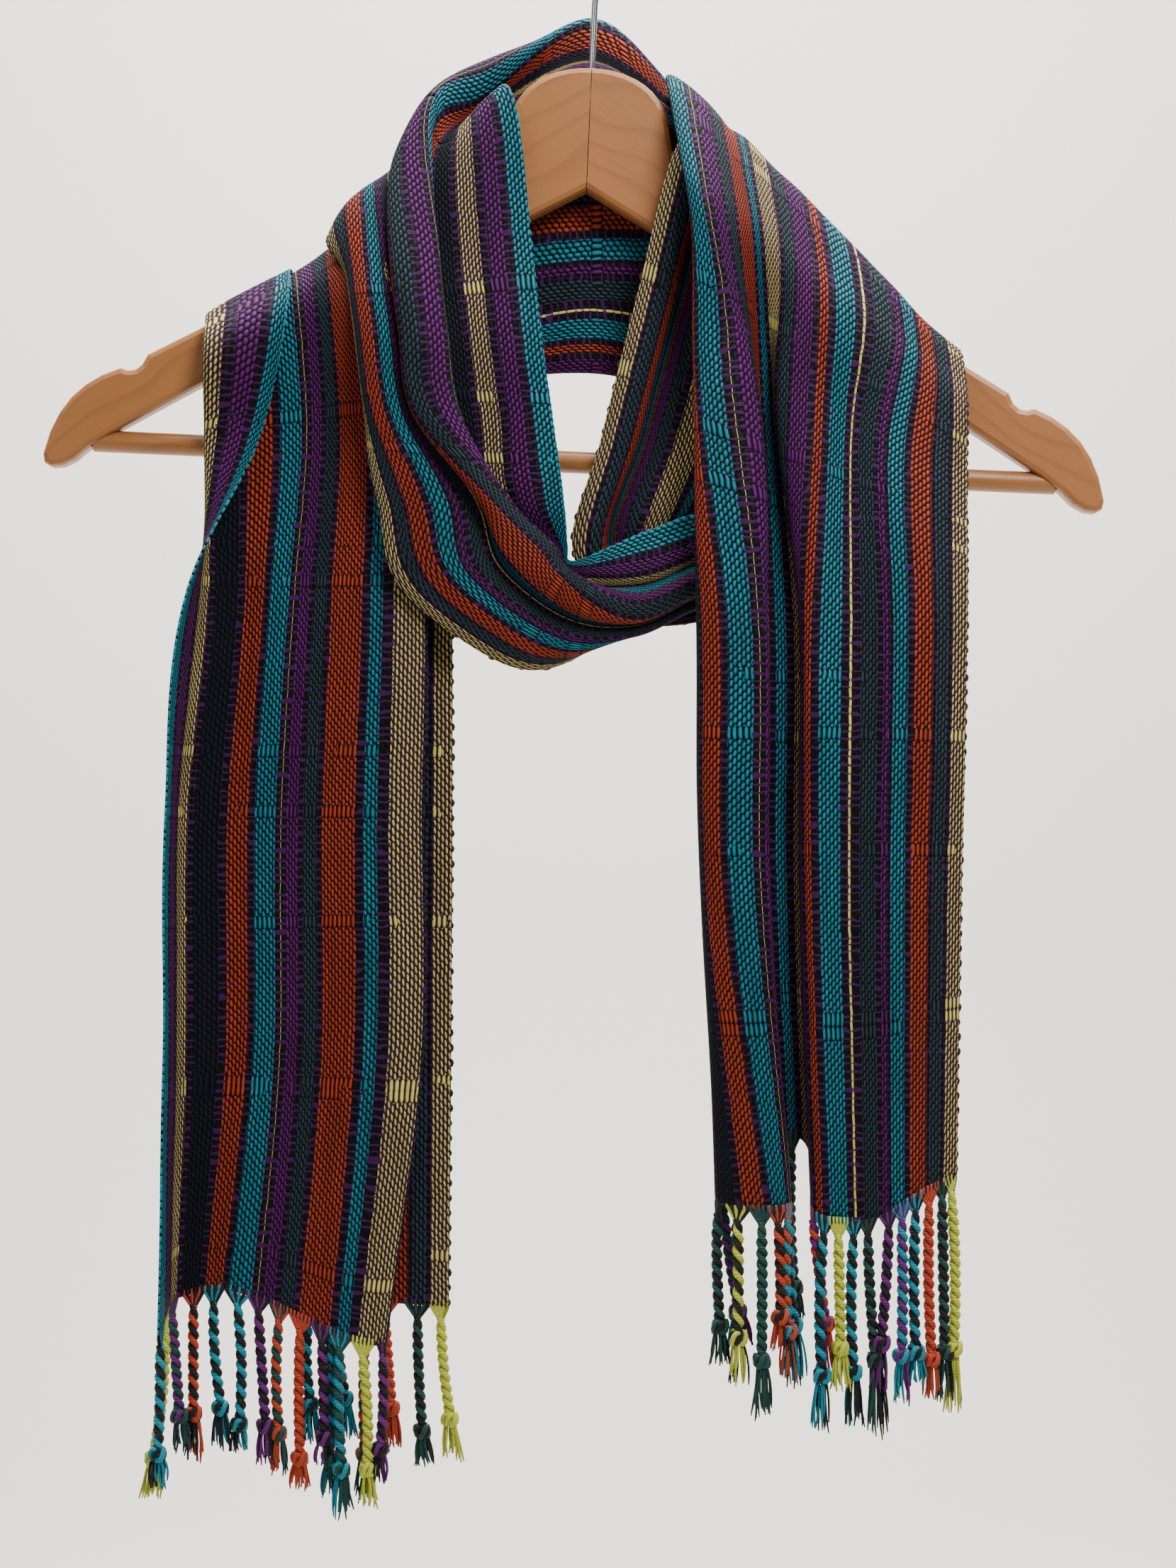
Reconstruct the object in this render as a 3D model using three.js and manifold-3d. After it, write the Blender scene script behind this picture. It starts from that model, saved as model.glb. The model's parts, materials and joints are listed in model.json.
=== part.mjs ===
// A striped hand-woven scarf, wound once round the neck of a wooden hanger.
// Millimetres, +Z up, +X to the viewer's right, -Y towards the viewer.
// The origin is the point under the top of the hook where the hook bears on its rail.
import * as THREE from 'three';
import { mergeVertices } from 'three/addons/utils/BufferGeometryUtils.js';
import Module from 'manifold-3d';

const wasm = await Module();
wasm.setup();

// ---- Driving sizes -------------------------------------------------------------------------
// hemGap is what parts the fringe's strip from the hem. A wall is cut into columns across.
const CLOTH = { thick: 1.2, seam: 0.3, hemGap: 0.78, columns: 24 };
// notch is the depth of the V under the hook, below the top of the wood.
const HANGER = { top: -82, thick: 12, tilt: 2.56, edge: 2.5, mitreGap: 0.3, notch: 51.2 };
const BAR = { radius: 4.6, axis: -247.3, halfLength: 202.7, clearance: 0.3, sides: 16 };
// entryAngle and sweepAngle are degrees round the bend; ease is how long the curve into it is.
const HOOK = {
  wire: 1.35, bend: 20, shankTop: -54, socket: 16, clearance: 0.3, entryAngle: -38, sweepAngle: 230, ease: 9,
};
// overlap is how far a cord starts inside the strip, rootTaper how soon it is full, knotRise how
// long the knot swells, and swing the most of its lean that it takes below the knot.
const CORD = {
  radius: 2.1, knot: 3.5, tuft: 3.0, stripDepth: 3, sides: 3, firstTurn: 0.4, turnStep: 0.9,
  overlap: 0.6, rootShare: 0.5, rootTaper: 4, knotRise: 5, swing: 1.3,
};

// ---- Colours -------------------------------------------------------------------------------
const finish = (color, roughness, metalness = 0) =>
  new THREE.MeshStandardMaterial({ color, roughness, metalness });
const WOOD = finish(0xc99a66, 0.45);
const STEEL = finish(0xd8dadc, 0.2, 1);
const CLOTH_FRONT = finish(0x0f9aa6, 0.85);
const CLOTH_BACK = finish(0xb5461f, 0.85);
const FRINGE = finish(0xbcc04f, 0.85);

// ---- Pleats: the folds of a cross-section, from the teal selvage (0) to the yellow one -----
// Each row of a table is one fold line: how far across the cloth it lies, where it stands
// along the section's chord (0 to 1), and how far it stands out from that chord.
const PLEATS = {
  hemLeft: [
    { across: 0, along: 0.0, out: 25 },
    { across: 9, along: 0.01, out: 18 },
    { across: 20, along: 0.015, out: 10 },
    { across: 31, along: 0.02, out: 4 },
    { across: 44, along: 0.13, out: 2 },
    { across: 57, along: 0.21, out: 4 },
    { across: 69, along: 0.33, out: 5 },
    { across: 82, along: 0.4, out: 3 },
    { across: 98, along: 0.52, out: 6 },
    { across: 118, along: 0.66, out: 10 },
    { across: 134, along: 0.79, out: 11.5 },
    { across: 139, along: 0.79, out: 6 },
    { across: 174, along: 0.48, out: 5.5 },
    { across: 180, along: 0.48, out: 0 },
    { across: 209, along: 0.78, out: 0 },
    { across: 235, along: 1.0, out: 0 },
  ],
  tailLeft: [
    { across: 0, along: 0.0, out: 24 },
    { across: 10, along: 0.005, out: 17 },
    { across: 20, along: 0.02, out: 10 },
    { across: 31, along: 0.035, out: 5 },
    { across: 44, along: 0.19, out: 3 },
    { across: 57, along: 0.29, out: 5 },
    { across: 69, along: 0.39, out: 5 },
    { across: 82, along: 0.47, out: 3 },
    { across: 98, along: 0.58, out: 6 },
    { across: 118, along: 0.75, out: 10 },
    { across: 134, along: 0.91, out: 11.5 },
    { across: 139, along: 0.91, out: 6 },
    { across: 178, along: 0.54, out: 5.5 },
    { across: 184, along: 0.54, out: 0 },
    { across: 224, along: 0.9, out: 0 },
    { across: 235, along: 1.0, out: 0 },
  ],
  flapLeft: [
    { across: 0, along: 0.25, out: 8 },
    { across: 9, along: 0.21, out: 8.5 },
    { across: 22, along: 0.07, out: 7.5 },
    { across: 30, along: 0.0, out: 2 },
    { across: 40, along: 0.13, out: 0 },
    { across: 57, along: 0.33, out: 1 },
    { across: 69, along: 0.43, out: 2 },
    { across: 82, along: 0.51, out: 1 },
    { across: 98, along: 0.6, out: 4 },
    { across: 118, along: 0.74, out: 8 },
    { across: 134, along: 0.88, out: 9.5 },
    { across: 139, along: 0.88, out: 5 },
    { across: 178, along: 0.56, out: 4.5 },
    { across: 184, along: 0.56, out: 0 },
    { across: 220, along: 0.9, out: 0 },
    { across: 235, along: 1.0, out: 0 },
  ],
  shoulderLeft: [
    { across: 0, along: 0.46, out: 2.8 },
    { across: 9, along: 0.4, out: 3 },
    { across: 22, along: 0.12, out: 3 },
    { across: 30, along: 0.0, out: 1.2 },
    { across: 40, along: 0.14, out: 0 },
    { across: 57, along: 0.36, out: 0 },
    { across: 69, along: 0.5, out: 0.2 },
    { across: 82, along: 0.6, out: 1.2 },
    { across: 98, along: 0.68, out: 4 },
    { across: 118, along: 0.79, out: 4.8 },
    { across: 134, along: 0.92, out: 5 },
    { across: 139, along: 0.92, out: 2.8 },
    { across: 178, along: 0.7, out: 2.4 },
    { across: 184, along: 0.7, out: 0 },
    { across: 220, along: 0.92, out: 0 },
    { across: 235, along: 1.0, out: 0 },
  ],
  neckUnder: [
    { across: 0, along: 0.27, out: 16 },
    { across: 24, along: 0.08, out: 16 },
    { across: 31, along: 0.04, out: 11.5 },
    { across: 55, along: 0.3, out: 11 },
    { across: 82, along: 0.58, out: 10.5 },
    { across: 88, along: 0.58, out: 6 },
    { across: 115, along: 0.3, out: 5.5 },
    { across: 140, along: 0.03, out: 5 },
    { across: 147, along: 0.0, out: 0.8 },
    { across: 157, along: 0.1, out: 0 },
    { across: 168, along: 0.18, out: 0.5 },
    { across: 180, along: 0.31, out: 1 },
    { across: 192, along: 0.42, out: 0 },
    { across: 203, along: 0.57, out: 0 },
    { across: 215, along: 0.76, out: 0 },
    { across: 235, along: 1.0, out: 0 },
  ],
  strip: [
    { across: 0, along: 0.2, out: -1 },
    { across: 24, along: 0.02, out: 0 },
    { across: 31, along: 0.02, out: 4 },
    { across: 46, along: 0.12, out: 5.5 },
    { across: 60, along: 0.22, out: 4 },
    { across: 74, along: 0.31, out: 2 },
    { across: 88, along: 0.38, out: 4.5 },
    { across: 104, along: 0.48, out: 5.5 },
    { across: 119, along: 0.58, out: 4.5 },
    { across: 134, along: 0.71, out: 4 },
    { across: 146, along: 0.81, out: 1.5 },
    { across: 185, along: 0.84, out: -1.5 },
    { across: 214, along: 0.855, out: 3 },
    { across: 222, along: 0.9, out: 5.5 },
    { across: 229, along: 0.965, out: 5 },
    { across: 235, along: 1.0, out: 3 },
  ],
  turn: [
    { across: 0, along: 0.0, out: 0 },
    { across: 12, along: 0.12, out: 0.8 },
    { across: 24, along: 0.26, out: 1 },
    { across: 36, along: 0.36, out: 0 },
    { across: 48, along: 0.42, out: -0.8 },
    { across: 60, along: 0.48, out: 0 },
    { across: 70, along: 0.54, out: 0.8 },
    { across: 80, along: 0.63, out: 1.2 },
    { across: 92, along: 0.74, out: 1 },
    { across: 110, along: 0.8, out: 0 },
    { across: 130, along: 0.83, out: -0.8 },
    { across: 155, along: 0.86, out: -1 },
    { across: 180, along: 0.89, out: -0.5 },
    { across: 200, along: 0.93, out: 0.4 },
    { across: 218, along: 0.97, out: 0.6 },
    { across: 235, along: 1.0, out: 0 },
  ],
  cowlEnd: [
    { across: 0, along: 0.0, out: -1 },
    { across: 8, along: 0.2, out: 0.5 },
    { across: 19, along: 0.42, out: 1 },
    { across: 34, along: 0.5, out: -1.5 },
    { across: 46, along: 0.5, out: -2.5 },
    { across: 57, along: 0.5, out: 0 },
    { across: 66, along: 0.57, out: 1.5 },
    { across: 73, along: 0.6, out: 3 },
    { across: 80, along: 0.66, out: 4.5 },
    { across: 91, along: 0.83, out: 4 },
    { across: 97, along: 0.86, out: 0.5 },
    { across: 130, along: 0.78, out: -2 },
    { across: 172, along: 0.82, out: -3.5 },
    { across: 190, along: 0.93, out: -0.5 },
    { across: 207, along: 1.0, out: -2.5 },
    { across: 235, along: 0.8, out: -7 },
  ],
  cowlFront: [
    { across: 0, along: 0.0, out: -6 },
    { across: 8, along: 0.03, out: -5.5 },
    { across: 19, along: 0.06, out: -6 },
    { across: 32, along: 0.14, out: -7.5 },
    { across: 47, along: 0.2, out: -7.5 },
    { across: 58, along: 0.17, out: -3 },
    { across: 72, along: 0.06, out: 0 },
    { across: 80, along: 0.06, out: 5 },
    { across: 91, along: 0.14, out: 8 },
    { across: 106, along: 0.36, out: 6.5 },
    { across: 114, along: 0.38, out: 1 },
    { across: 150, along: 0.3, out: -4 },
    { across: 184, along: 0.42, out: -2.5 },
    { across: 202, along: 0.63, out: 1.5 },
    { across: 216, along: 0.82, out: 0.5 },
    { across: 235, along: 1.0, out: -4 },
  ],
  cowlSide: [
    { across: 0, along: 0.0, out: -2 },
    { across: 8, along: 0.09, out: -1 },
    { across: 19, along: 0.25, out: -3 },
    { across: 32, along: 0.36, out: -6.5 },
    { across: 47, along: 0.43, out: -7.5 },
    { across: 60, along: 0.4, out: -3 },
    { across: 74, along: 0.25, out: 0.5 },
    { across: 80, along: 0.25, out: 5.5 },
    { across: 89, along: 0.34, out: 8 },
    { across: 98, along: 0.44, out: 6 },
    { across: 106, along: 0.45, out: 1 },
    { across: 150, along: 0.36, out: -4 },
    { across: 190, along: 0.48, out: -4 },
    { across: 202, along: 0.64, out: 1.5 },
    { across: 216, along: 0.85, out: 0.5 },
    { across: 235, along: 1.0, out: -3 },
  ],
  cowlUp: [
    { across: 0, along: 0.0, out: -2 },
    { across: 8, along: 0.1, out: -1 },
    { across: 19, along: 0.25, out: -3.5 },
    { across: 32, along: 0.39, out: -7 },
    { across: 45, along: 0.55, out: -8 },
    { across: 56, along: 0.58, out: -4 },
    { across: 67, along: 0.49, out: -1 },
    { across: 71, along: 0.49, out: 4 },
    { across: 80, along: 0.62, out: 6.5 },
    { across: 89, along: 0.74, out: 5 },
    { across: 95, along: 0.75, out: 0.5 },
    { across: 145, along: 0.66, out: -3.5 },
    { across: 190, along: 0.72, out: -4.5 },
    { across: 204, along: 0.82, out: 0.5 },
    { across: 218, along: 0.97, out: 0 },
    { across: 235, along: 0.98, out: -6 },
  ],
  crestLeft: [
    { across: 0, along: 0.0, out: 0 },
    { across: 8, along: 0.07, out: 0.5 },
    { across: 19, along: 0.19, out: -1 },
    { across: 31, along: 0.3, out: -3 },
    { across: 43, along: 0.41, out: -2 },
    { across: 52, along: 0.46, out: 6 },
    { across: 59, along: 0.42, out: 15 },
    { across: 66, along: 0.43, out: 22 },
    { across: 75, along: 0.52, out: 26 },
    { across: 86, along: 0.6, out: 20 },
    { across: 94, along: 0.64, out: 13 },
    { across: 130, along: 0.62, out: 8 },
    { across: 185, along: 0.68, out: 4 },
    { across: 204, along: 0.82, out: 5 },
    { across: 218, along: 0.95, out: 4 },
    { across: 235, along: 1.02, out: 0.5 },
  ],
  archLeft: [
    { across: 0, along: 0.38, out: -0.5 },
    { across: 10, along: 0.33, out: 0.5 },
    { across: 20, along: 0.29, out: 2 },
    { across: 31, along: 0.26, out: 3 },
    { across: 43, along: 0.23, out: 3.5 },
    { across: 52, along: 0.21, out: 1.5 },
    { across: 59, along: 0.18, out: -3 },
    { across: 66, along: 0.08, out: -4.5 },
    { across: 76, along: 0.0, out: 1 },
    { across: 92, along: 0.07, out: 9 },
    { across: 112, along: 0.3, out: 15 },
    { across: 136, along: 0.55, out: 17.5 },
    { across: 160, along: 0.78, out: 19.5 },
    { across: 184, along: 0.98, out: 20 },
    { across: 196, along: 0.97, out: 25.5 },
    { across: 235, along: 0.66, out: 27 },
  ],
  arch: [
    { across: 0, along: 0.25, out: 0 },
    { across: 10, along: 0.18, out: 1 },
    { across: 20, along: 0.17, out: 2.5 },
    { across: 31, along: 0.16, out: 3.5 },
    { across: 43, along: 0.135, out: 3.5 },
    { across: 52, along: 0.07, out: 4 },
    { across: 59, along: 0.0, out: 5 },
    { across: 66, along: 0.0, out: 10 },
    { across: 76, along: 0.08, out: 12.5 },
    { across: 92, along: 0.22, out: 14 },
    { across: 112, along: 0.4, out: 15 },
    { across: 136, along: 0.61, out: 17.5 },
    { across: 160, along: 0.81, out: 19.5 },
    { across: 184, along: 0.98, out: 20 },
    { across: 196, along: 0.97, out: 25.5 },
    { across: 235, along: 0.66, out: 27 },
  ],
  fan: [
    { across: 0, along: 0.14, out: -2 },
    { across: 14, along: 0.11, out: -2.5 },
    { across: 28, along: 0.09, out: -2.5 },
    { across: 44, along: 0.05, out: -2 },
    { across: 54, along: 0.01, out: 0 },
    { across: 62, along: 0.02, out: 5 },
    { across: 75, along: 0.14, out: 7 },
    { across: 98, along: 0.22, out: 4 },
    { across: 124, along: 0.29, out: 7.5 },
    { across: 140, along: 0.37, out: 4 },
    { across: 154, along: 0.45, out: 5.5 },
    { across: 168, along: 0.54, out: 4 },
    { across: 182, along: 0.66, out: 3 },
    { across: 200, along: 0.78, out: 0 },
    { across: 219, along: 0.9, out: -1.5 },
    { across: 235, along: 1.0, out: 0 },
  ],
  tailRightTop: [
    { across: 0, along: 0.2, out: -6 },
    { across: 22, along: 0.06, out: -4.5 },
    { across: 44, along: 0.02, out: -1.5 },
    { across: 53, along: -0.005, out: 2.5 },
    { across: 63, along: 0.05, out: 8 },
    { across: 75, along: 0.21, out: 9 },
    { across: 84, along: 0.24, out: 1 },
    { across: 104, along: 0.22, out: -5 },
    { across: 122, along: 0.32, out: -5 },
    { across: 132, along: 0.29, out: 0.5 },
    { across: 142, along: 0.33, out: 7.5 },
    { across: 160, along: 0.45, out: 9 },
    { across: 178, along: 0.57, out: 2 },
    { across: 200, along: 0.69, out: 7 },
    { across: 219, along: 0.88, out: 4 },
    { across: 235, along: 1.0, out: 0 },
  ],
  tailRight: [
    { across: 0, along: 0.14, out: -6 },
    { across: 28, along: 0.02, out: -4 },
    { across: 38, along: -0.005, out: 2 },
    { across: 49, along: 0.03, out: 7.5 },
    { across: 62, along: 0.15, out: 10 },
    { across: 72, along: 0.26, out: 9 },
    { across: 80, along: 0.27, out: 1 },
    { across: 102, along: 0.2, out: -5.5 },
    { across: 124, along: 0.42, out: -6 },
    { across: 140, along: 0.38, out: 0 },
    { across: 157, along: 0.37, out: 7.5 },
    { across: 167, along: 0.45, out: 10 },
    { across: 181, along: 0.58, out: 2.5 },
    { across: 200, along: 0.71, out: 8 },
    { across: 219, along: 0.88, out: 5 },
    { across: 235, along: 1.0, out: 0 },
  ],
  hemRight: [
    { across: 0, along: 0.14, out: -6 },
    { across: 28, along: 0.0, out: -2 },
    { across: 38, along: 0.06, out: 4 },
    { across: 49, along: 0.17, out: 7.5 },
    { across: 62, along: 0.29, out: 9 },
    { across: 72, along: 0.33, out: 7 },
    { across: 80, along: 0.32, out: 0 },
    { across: 102, along: 0.24, out: -5.5 },
    { across: 124, along: 0.43, out: -6 },
    { across: 140, along: 0.41, out: 0 },
    { across: 157, along: 0.41, out: 7 },
    { across: 167, along: 0.48, out: 9 },
    { across: 181, along: 0.6, out: 3 },
    { across: 200, along: 0.72, out: 7 },
    { across: 219, along: 0.88, out: 5 },
    { across: 235, along: 1.0, out: 0 },
  ],
};

// How much lower or higher than its chord each fold ends at a hem.
const HEM_DROP = {
  hemLeft: [-10, -6, -1, 3, 5, 7, 3, -2, -8, -15, -16, -13, -4, -2, 1, -2],
  hemRight: [4, 3, 2, 0, 0, 1, 3, 30, 30, 4, -3, -5, -6, -2, 8, 12],
};

// ---- Route: the sections along the scarf, from the left hem to the right one ----------------
// teal and yellow are the two ends of a section's chord. facing turns the way the pleats stand
// out: 0 is towards the viewer, 90 is up and 180 is away. steps is how finely the stretch from
// the row before is cut.
const ROUTE = [
  { name: 'left hem', pleats: 'hemLeft', teal: [-181, -8, -599], yellow: [-63.5, -8, -599], facing: 0, steps: 0 },
  { name: 'left tail low', pleats: 'tailLeft', teal: [-179, -8, -497], yellow: [-62.5, -8, -497], facing: 0, steps: 2 },
  { name: 'left tail', pleats: 'tailLeft', teal: [-178, -8, -392], yellow: [-62, -8, -392], facing: 0, steps: 2 },
  { name: 'left tail high', pleats: 'tailLeft', teal: [-169, -8, -302], yellow: [-62, -8, -302], facing: 0, steps: 2 },
  { name: 'left flap', pleats: 'flapLeft', teal: [-168, -8.6, -240], yellow: [-62, -8.6, -232], facing: 0, steps: 2 },
  { name: 'left arm front', pleats: 'shoulderLeft', teal: [-168.5, -9.4, -194.5], yellow: [-84, -9.4, -152], facing: 20, steps: 2 },
  { name: 'left arm top', pleats: 'shoulderLeft', teal: [-168.7, 0, -187.8], yellow: [-86, 0, -146], facing: 90, steps: 3 },
  { name: 'left arm back', pleats: 'shoulderLeft', teal: [-165, 9.4, -193.5], yellow: [-81, 9.4, -150.5], facing: 160, steps: 3 },
  { name: 'behind left', pleats: 'neckUnder', teal: [-92, 8.6, -206], yellow: [-55, 8.6, -126], facing: 180, steps: 3 },
  { name: 'behind neck', pleats: 'neckUnder', teal: [-3, 8.6, -209], yellow: [-3, 8.6, -118], facing: 180, steps: 3 },
  { name: 'behind right', pleats: 'neckUnder', teal: [72, 8.6, -214], yellow: [36, 8.6, -114], facing: 180, steps: 3 },
  { name: 'right arm back', pleats: 'strip', teal: [121, 10, -197], yellow: [40, 9, -117], facing: 160, steps: 3 },
  { name: 'right arm top', pleats: 'strip', teal: [122, 0, -181], yellow: [37, 0, -111], facing: 90, steps: 3 },
  { name: 'right arm front', pleats: 'strip', teal: [120, -10.4, -198], yellow: [31, -9.8, -120], facing: 20, steps: 3 },
  { name: 'strip high', pleats: 'strip', teal: [114, -9.4, -224], yellow: [15.5, -9.4, -178], facing: 0, steps: 2 },
  { name: 'strip', pleats: 'strip', teal: [104, -9.4, -242], yellow: [0, -9.4, -240], facing: 0, steps: 2 },
  { name: 'strip low', pleats: 'strip', teal: [84, -9.4, -256], yellow: [-11, -9.4, -288], facing: 0, steps: 2 },
  { name: 'strip foot', pleats: 'turn', teal: [58, -9.4, -273], yellow: [20, -9.4, -316], facing: 0, steps: 3 },
  { name: 'turn back', pleats: 'turn', teal: [66, -11.5, -272], yellow: [58, -11.5, -311], facing: 0, steps: 2 },
  { name: 'turn front', pleats: 'turn', teal: [66, -21.5, -271], yellow: [58, -21.5, -311], facing: 0, steps: 3 },
  { name: 'cowl right', pleats: 'cowlEnd', teal: [46, -22, -270], yellow: [42, -22, -311], facing: 0, steps: 2 },
  { name: 'cowl low right', pleats: 'cowlEnd', teal: [20, -22.5, -278], yellow: [14, -22.5, -323], facing: 0, steps: 2 },
  { name: 'cowl bottom', pleats: 'cowlFront', teal: [-13, -22, -290], yellow: [-42, -23, -332], facing: 0, steps: 3 },
  { name: 'cowl low left', pleats: 'cowlFront', teal: [-14, -21, -284], yellow: [-79, -27, -306], facing: 0, steps: 3 },
  { name: 'cowl side', pleats: 'cowlSide', teal: [-15, -20, -270], yellow: [-92, -28, -266], facing: 0, steps: 2 },
  { name: 'cowl rise', pleats: 'cowlUp', teal: [-20.5, -19, -228], yellow: [-99, -30, -226], facing: 0, steps: 2 },
  { name: 'cowl high', pleats: 'cowlUp', teal: [-24.5, -18.5, -199], yellow: [-103, -30, -196], facing: 0, steps: 2 },
  { name: 'cowl top', pleats: 'cowlUp', teal: [-28, -15.5, -165], yellow: [-106, -27, -175], facing: 10, steps: 2 },
  { name: 'left crest', pleats: 'crestLeft', teal: [-40, -7, -90], yellow: [-107, -2, -149], facing: 90, steps: 4 },
  { name: 'arch left', pleats: 'archLeft', teal: [-46, 11.5, -71], yellow: [-74, 11.5, -178], facing: 180, steps: 4 },
  { name: 'arch', pleats: 'arch', teal: [-4, 11.5, -54.5], yellow: [-4, 11.5, -177], facing: 180, steps: 3 },
  { name: 'arch right', pleats: 'arch', teal: [25, 17, -76], yellow: [62, 16, -186], facing: 180, steps: 3 },
  { name: 'right shoulder back', pleats: 'fan', teal: [28, 20, -86], yellow: [148, 22, -211], facing: 170, steps: 3 },
  { name: 'right crest', pleats: 'fan', teal: [26, 3, -84], yellow: [149.5, 0, -200.5], facing: 80, steps: 3 },
  { name: 'right fan', pleats: 'fan', teal: [32, -27, -128], yellow: [151.5, -17, -219], facing: 10, steps: 4 },
  { name: 'right tail top', pleats: 'tailRightTop', teal: [37, -31, -202], yellow: [151, -22, -258], facing: 0, steps: 3 },
  { name: 'right tail high', pleats: 'tailRight', teal: [38.5, -37, -314], yellow: [150, -30, -322], facing: 0, steps: 3 },
  { name: 'right tail', pleats: 'tailRight', teal: [40, -34, -416], yellow: [148, -29, -416], facing: 0, steps: 2 },
  { name: 'right hem', pleats: 'hemRight', teal: [44.5, -30, -556], yellow: [146, -27, -556], facing: 0, steps: 3 },
];

// ---- Nodes: the stretch of the route that each piece covers --------------------------------
const STRETCHES = [
  { node: 'scarf_tail_left', from: 'left hem', to: 'left arm top', finish: CLOTH_FRONT },
  { node: 'scarf_neck_under', from: 'left arm top', to: 'right arm top', finish: CLOTH_BACK },
  { node: 'scarf_strip_right', from: 'right arm top', to: 'turn back', finish: CLOTH_FRONT },
  { node: 'scarf_loop_front', from: 'turn back', to: 'left crest', finish: CLOTH_BACK },
  { node: 'scarf_neck_over', from: 'left crest', to: 'right crest', finish: CLOTH_FRONT },
  { node: 'scarf_tail_right', from: 'right crest', to: 'right hem', finish: CLOTH_BACK },
];

const indexOf = (name) => ROUTE.findIndex((row) => row.name === name);

/** The control points of one section: [x, y, z, across] for each fold. */
function sectionPoints(row) {
  const turn = THREE.MathUtils.degToRad(row.facing);
  const outward = new THREE.Vector3(0, -Math.cos(turn), Math.sin(turn));
  const teal = new THREE.Vector3(...row.teal);
  const yellow = new THREE.Vector3(...row.yellow);
  const drop = row.name.endsWith('hem') ? HEM_DROP[row.pleats] : null;
  return PLEATS[row.pleats].map((fold, i) => {
    const point = teal.clone().lerp(yellow, fold.along).addScaledVector(outward, fold.out);
    if (drop) point.z += drop[i];
    return [point.x, point.y, point.z, fold.across];
  });
}

const SECTIONS = ROUTE.map(sectionPoints);
const FOLDS = SECTIONS[0].length;

/** Rough distance between neighbouring sections, used as the knots along the scarf. */
const STATIONS = SECTIONS.reduce((list, section, i) => {
  if (i === 0) return [0];
  const gap = section.reduce((sum, p, j) => {
    const q = SECTIONS[i - 1][j];
    return sum + Math.hypot(p[0] - q[0], p[1] - q[1], p[2] - q[2]);
  }, 0) / FOLDS;
  return [...list, list[i - 1] + gap];
}, []);

/** Weights of a smooth curve through the sections at a distance along the scarf. */
function lengthWeights(distance) {
  const last = STATIONS.length - 1;
  let i = STATIONS.findIndex((knot, k) => k > 0 && distance <= knot) - 1;
  if (i < 0) i = distance <= 0 ? 0 : last - 1;
  const span = STATIONS[i + 1] - STATIONS[i];
  const t = (distance - STATIONS[i]) / span;
  const weights = new Map();
  const add = (k, w) => weights.set(k, (weights.get(k) ?? 0) + w);
  if (t < 0 || t > 1) {
    add(i, 1 - t);
    add(i + 1, t);
    return weights;
  }
  const tangent = (k, scale) => {
    if (k === 0 || k === last) {
      const a = k === 0 ? 0 : last - 1;
      const h = STATIONS[a + 1] - STATIONS[a];
      add(a + 1, scale / h);
      add(a, -scale / h);
      return;
    }
    const before = STATIONS[k] - STATIONS[k - 1];
    const after = STATIONS[k + 1] - STATIONS[k];
    const total = before + after;
    add(k + 1, (scale * before) / (after * total));
    add(k, scale * (after / (before * total) - before / (after * total)));
    add(k - 1, (-scale * after) / (before * total));
  };
  add(i, 2 * t ** 3 - 3 * t ** 2 + 1);
  add(i + 1, -2 * t ** 3 + 3 * t ** 2);
  tangent(i, span * (t ** 3 - 2 * t ** 2 + t));
  tangent(i + 1, span * (t ** 3 - t ** 2));
  return weights;
}

/** Weights of a uniform cubic B-spline across the folds, with its ends held. */
function foldWeights(position) {
  const i = Math.min(Math.floor(position), FOLDS - 2);
  const t = position - i;
  const basis = [
    (1 - t) ** 3 / 6,
    (3 * t ** 3 - 6 * t ** 2 + 4) / 6,
    (-3 * t ** 3 + 3 * t ** 2 + 3 * t + 1) / 6,
    t ** 3 / 6,
  ];
  const weights = new Map();
  const add = (k, w) => weights.set(k, (weights.get(k) ?? 0) + w);
  basis.forEach((w, k) => {
    const fold = i - 1 + k;
    if (fold < 0) {
      add(0, 2 * w);
      add(1, -w);
    } else if (fold >= FOLDS) {
      add(FOLDS - 1, 2 * w);
      add(FOLDS - 2, -w);
    } else add(fold, w);
  });
  return weights;
}

/** The middle of the cloth at a distance along it and a place among its folds. */
function clothPoint(distance, position) {
  const point = new THREE.Vector3();
  for (const [i, wi] of lengthWeights(distance)) {
    for (const [j, wj] of foldWeights(position)) {
      const [x, y, z] = SECTIONS[i][j];
      point.x += wi * wj * x;
      point.y += wi * wj * y;
      point.z += wi * wj * z;
    }
  }
  return point;
}

/** The cloth's normal, from its slopes along and across. */
function clothNormal(distance, position) {
  const foldReach = 0.02;
  const reach = 1;
  const low = Math.max(position - foldReach, 0);
  const high = Math.min(position + foldReach, FOLDS - 1);
  const along = clothPoint(distance + reach, position).sub(clothPoint(distance - reach, position));
  const across = clothPoint(distance, high).sub(clothPoint(distance, low));
  return across.cross(along).normalize();
}

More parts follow.
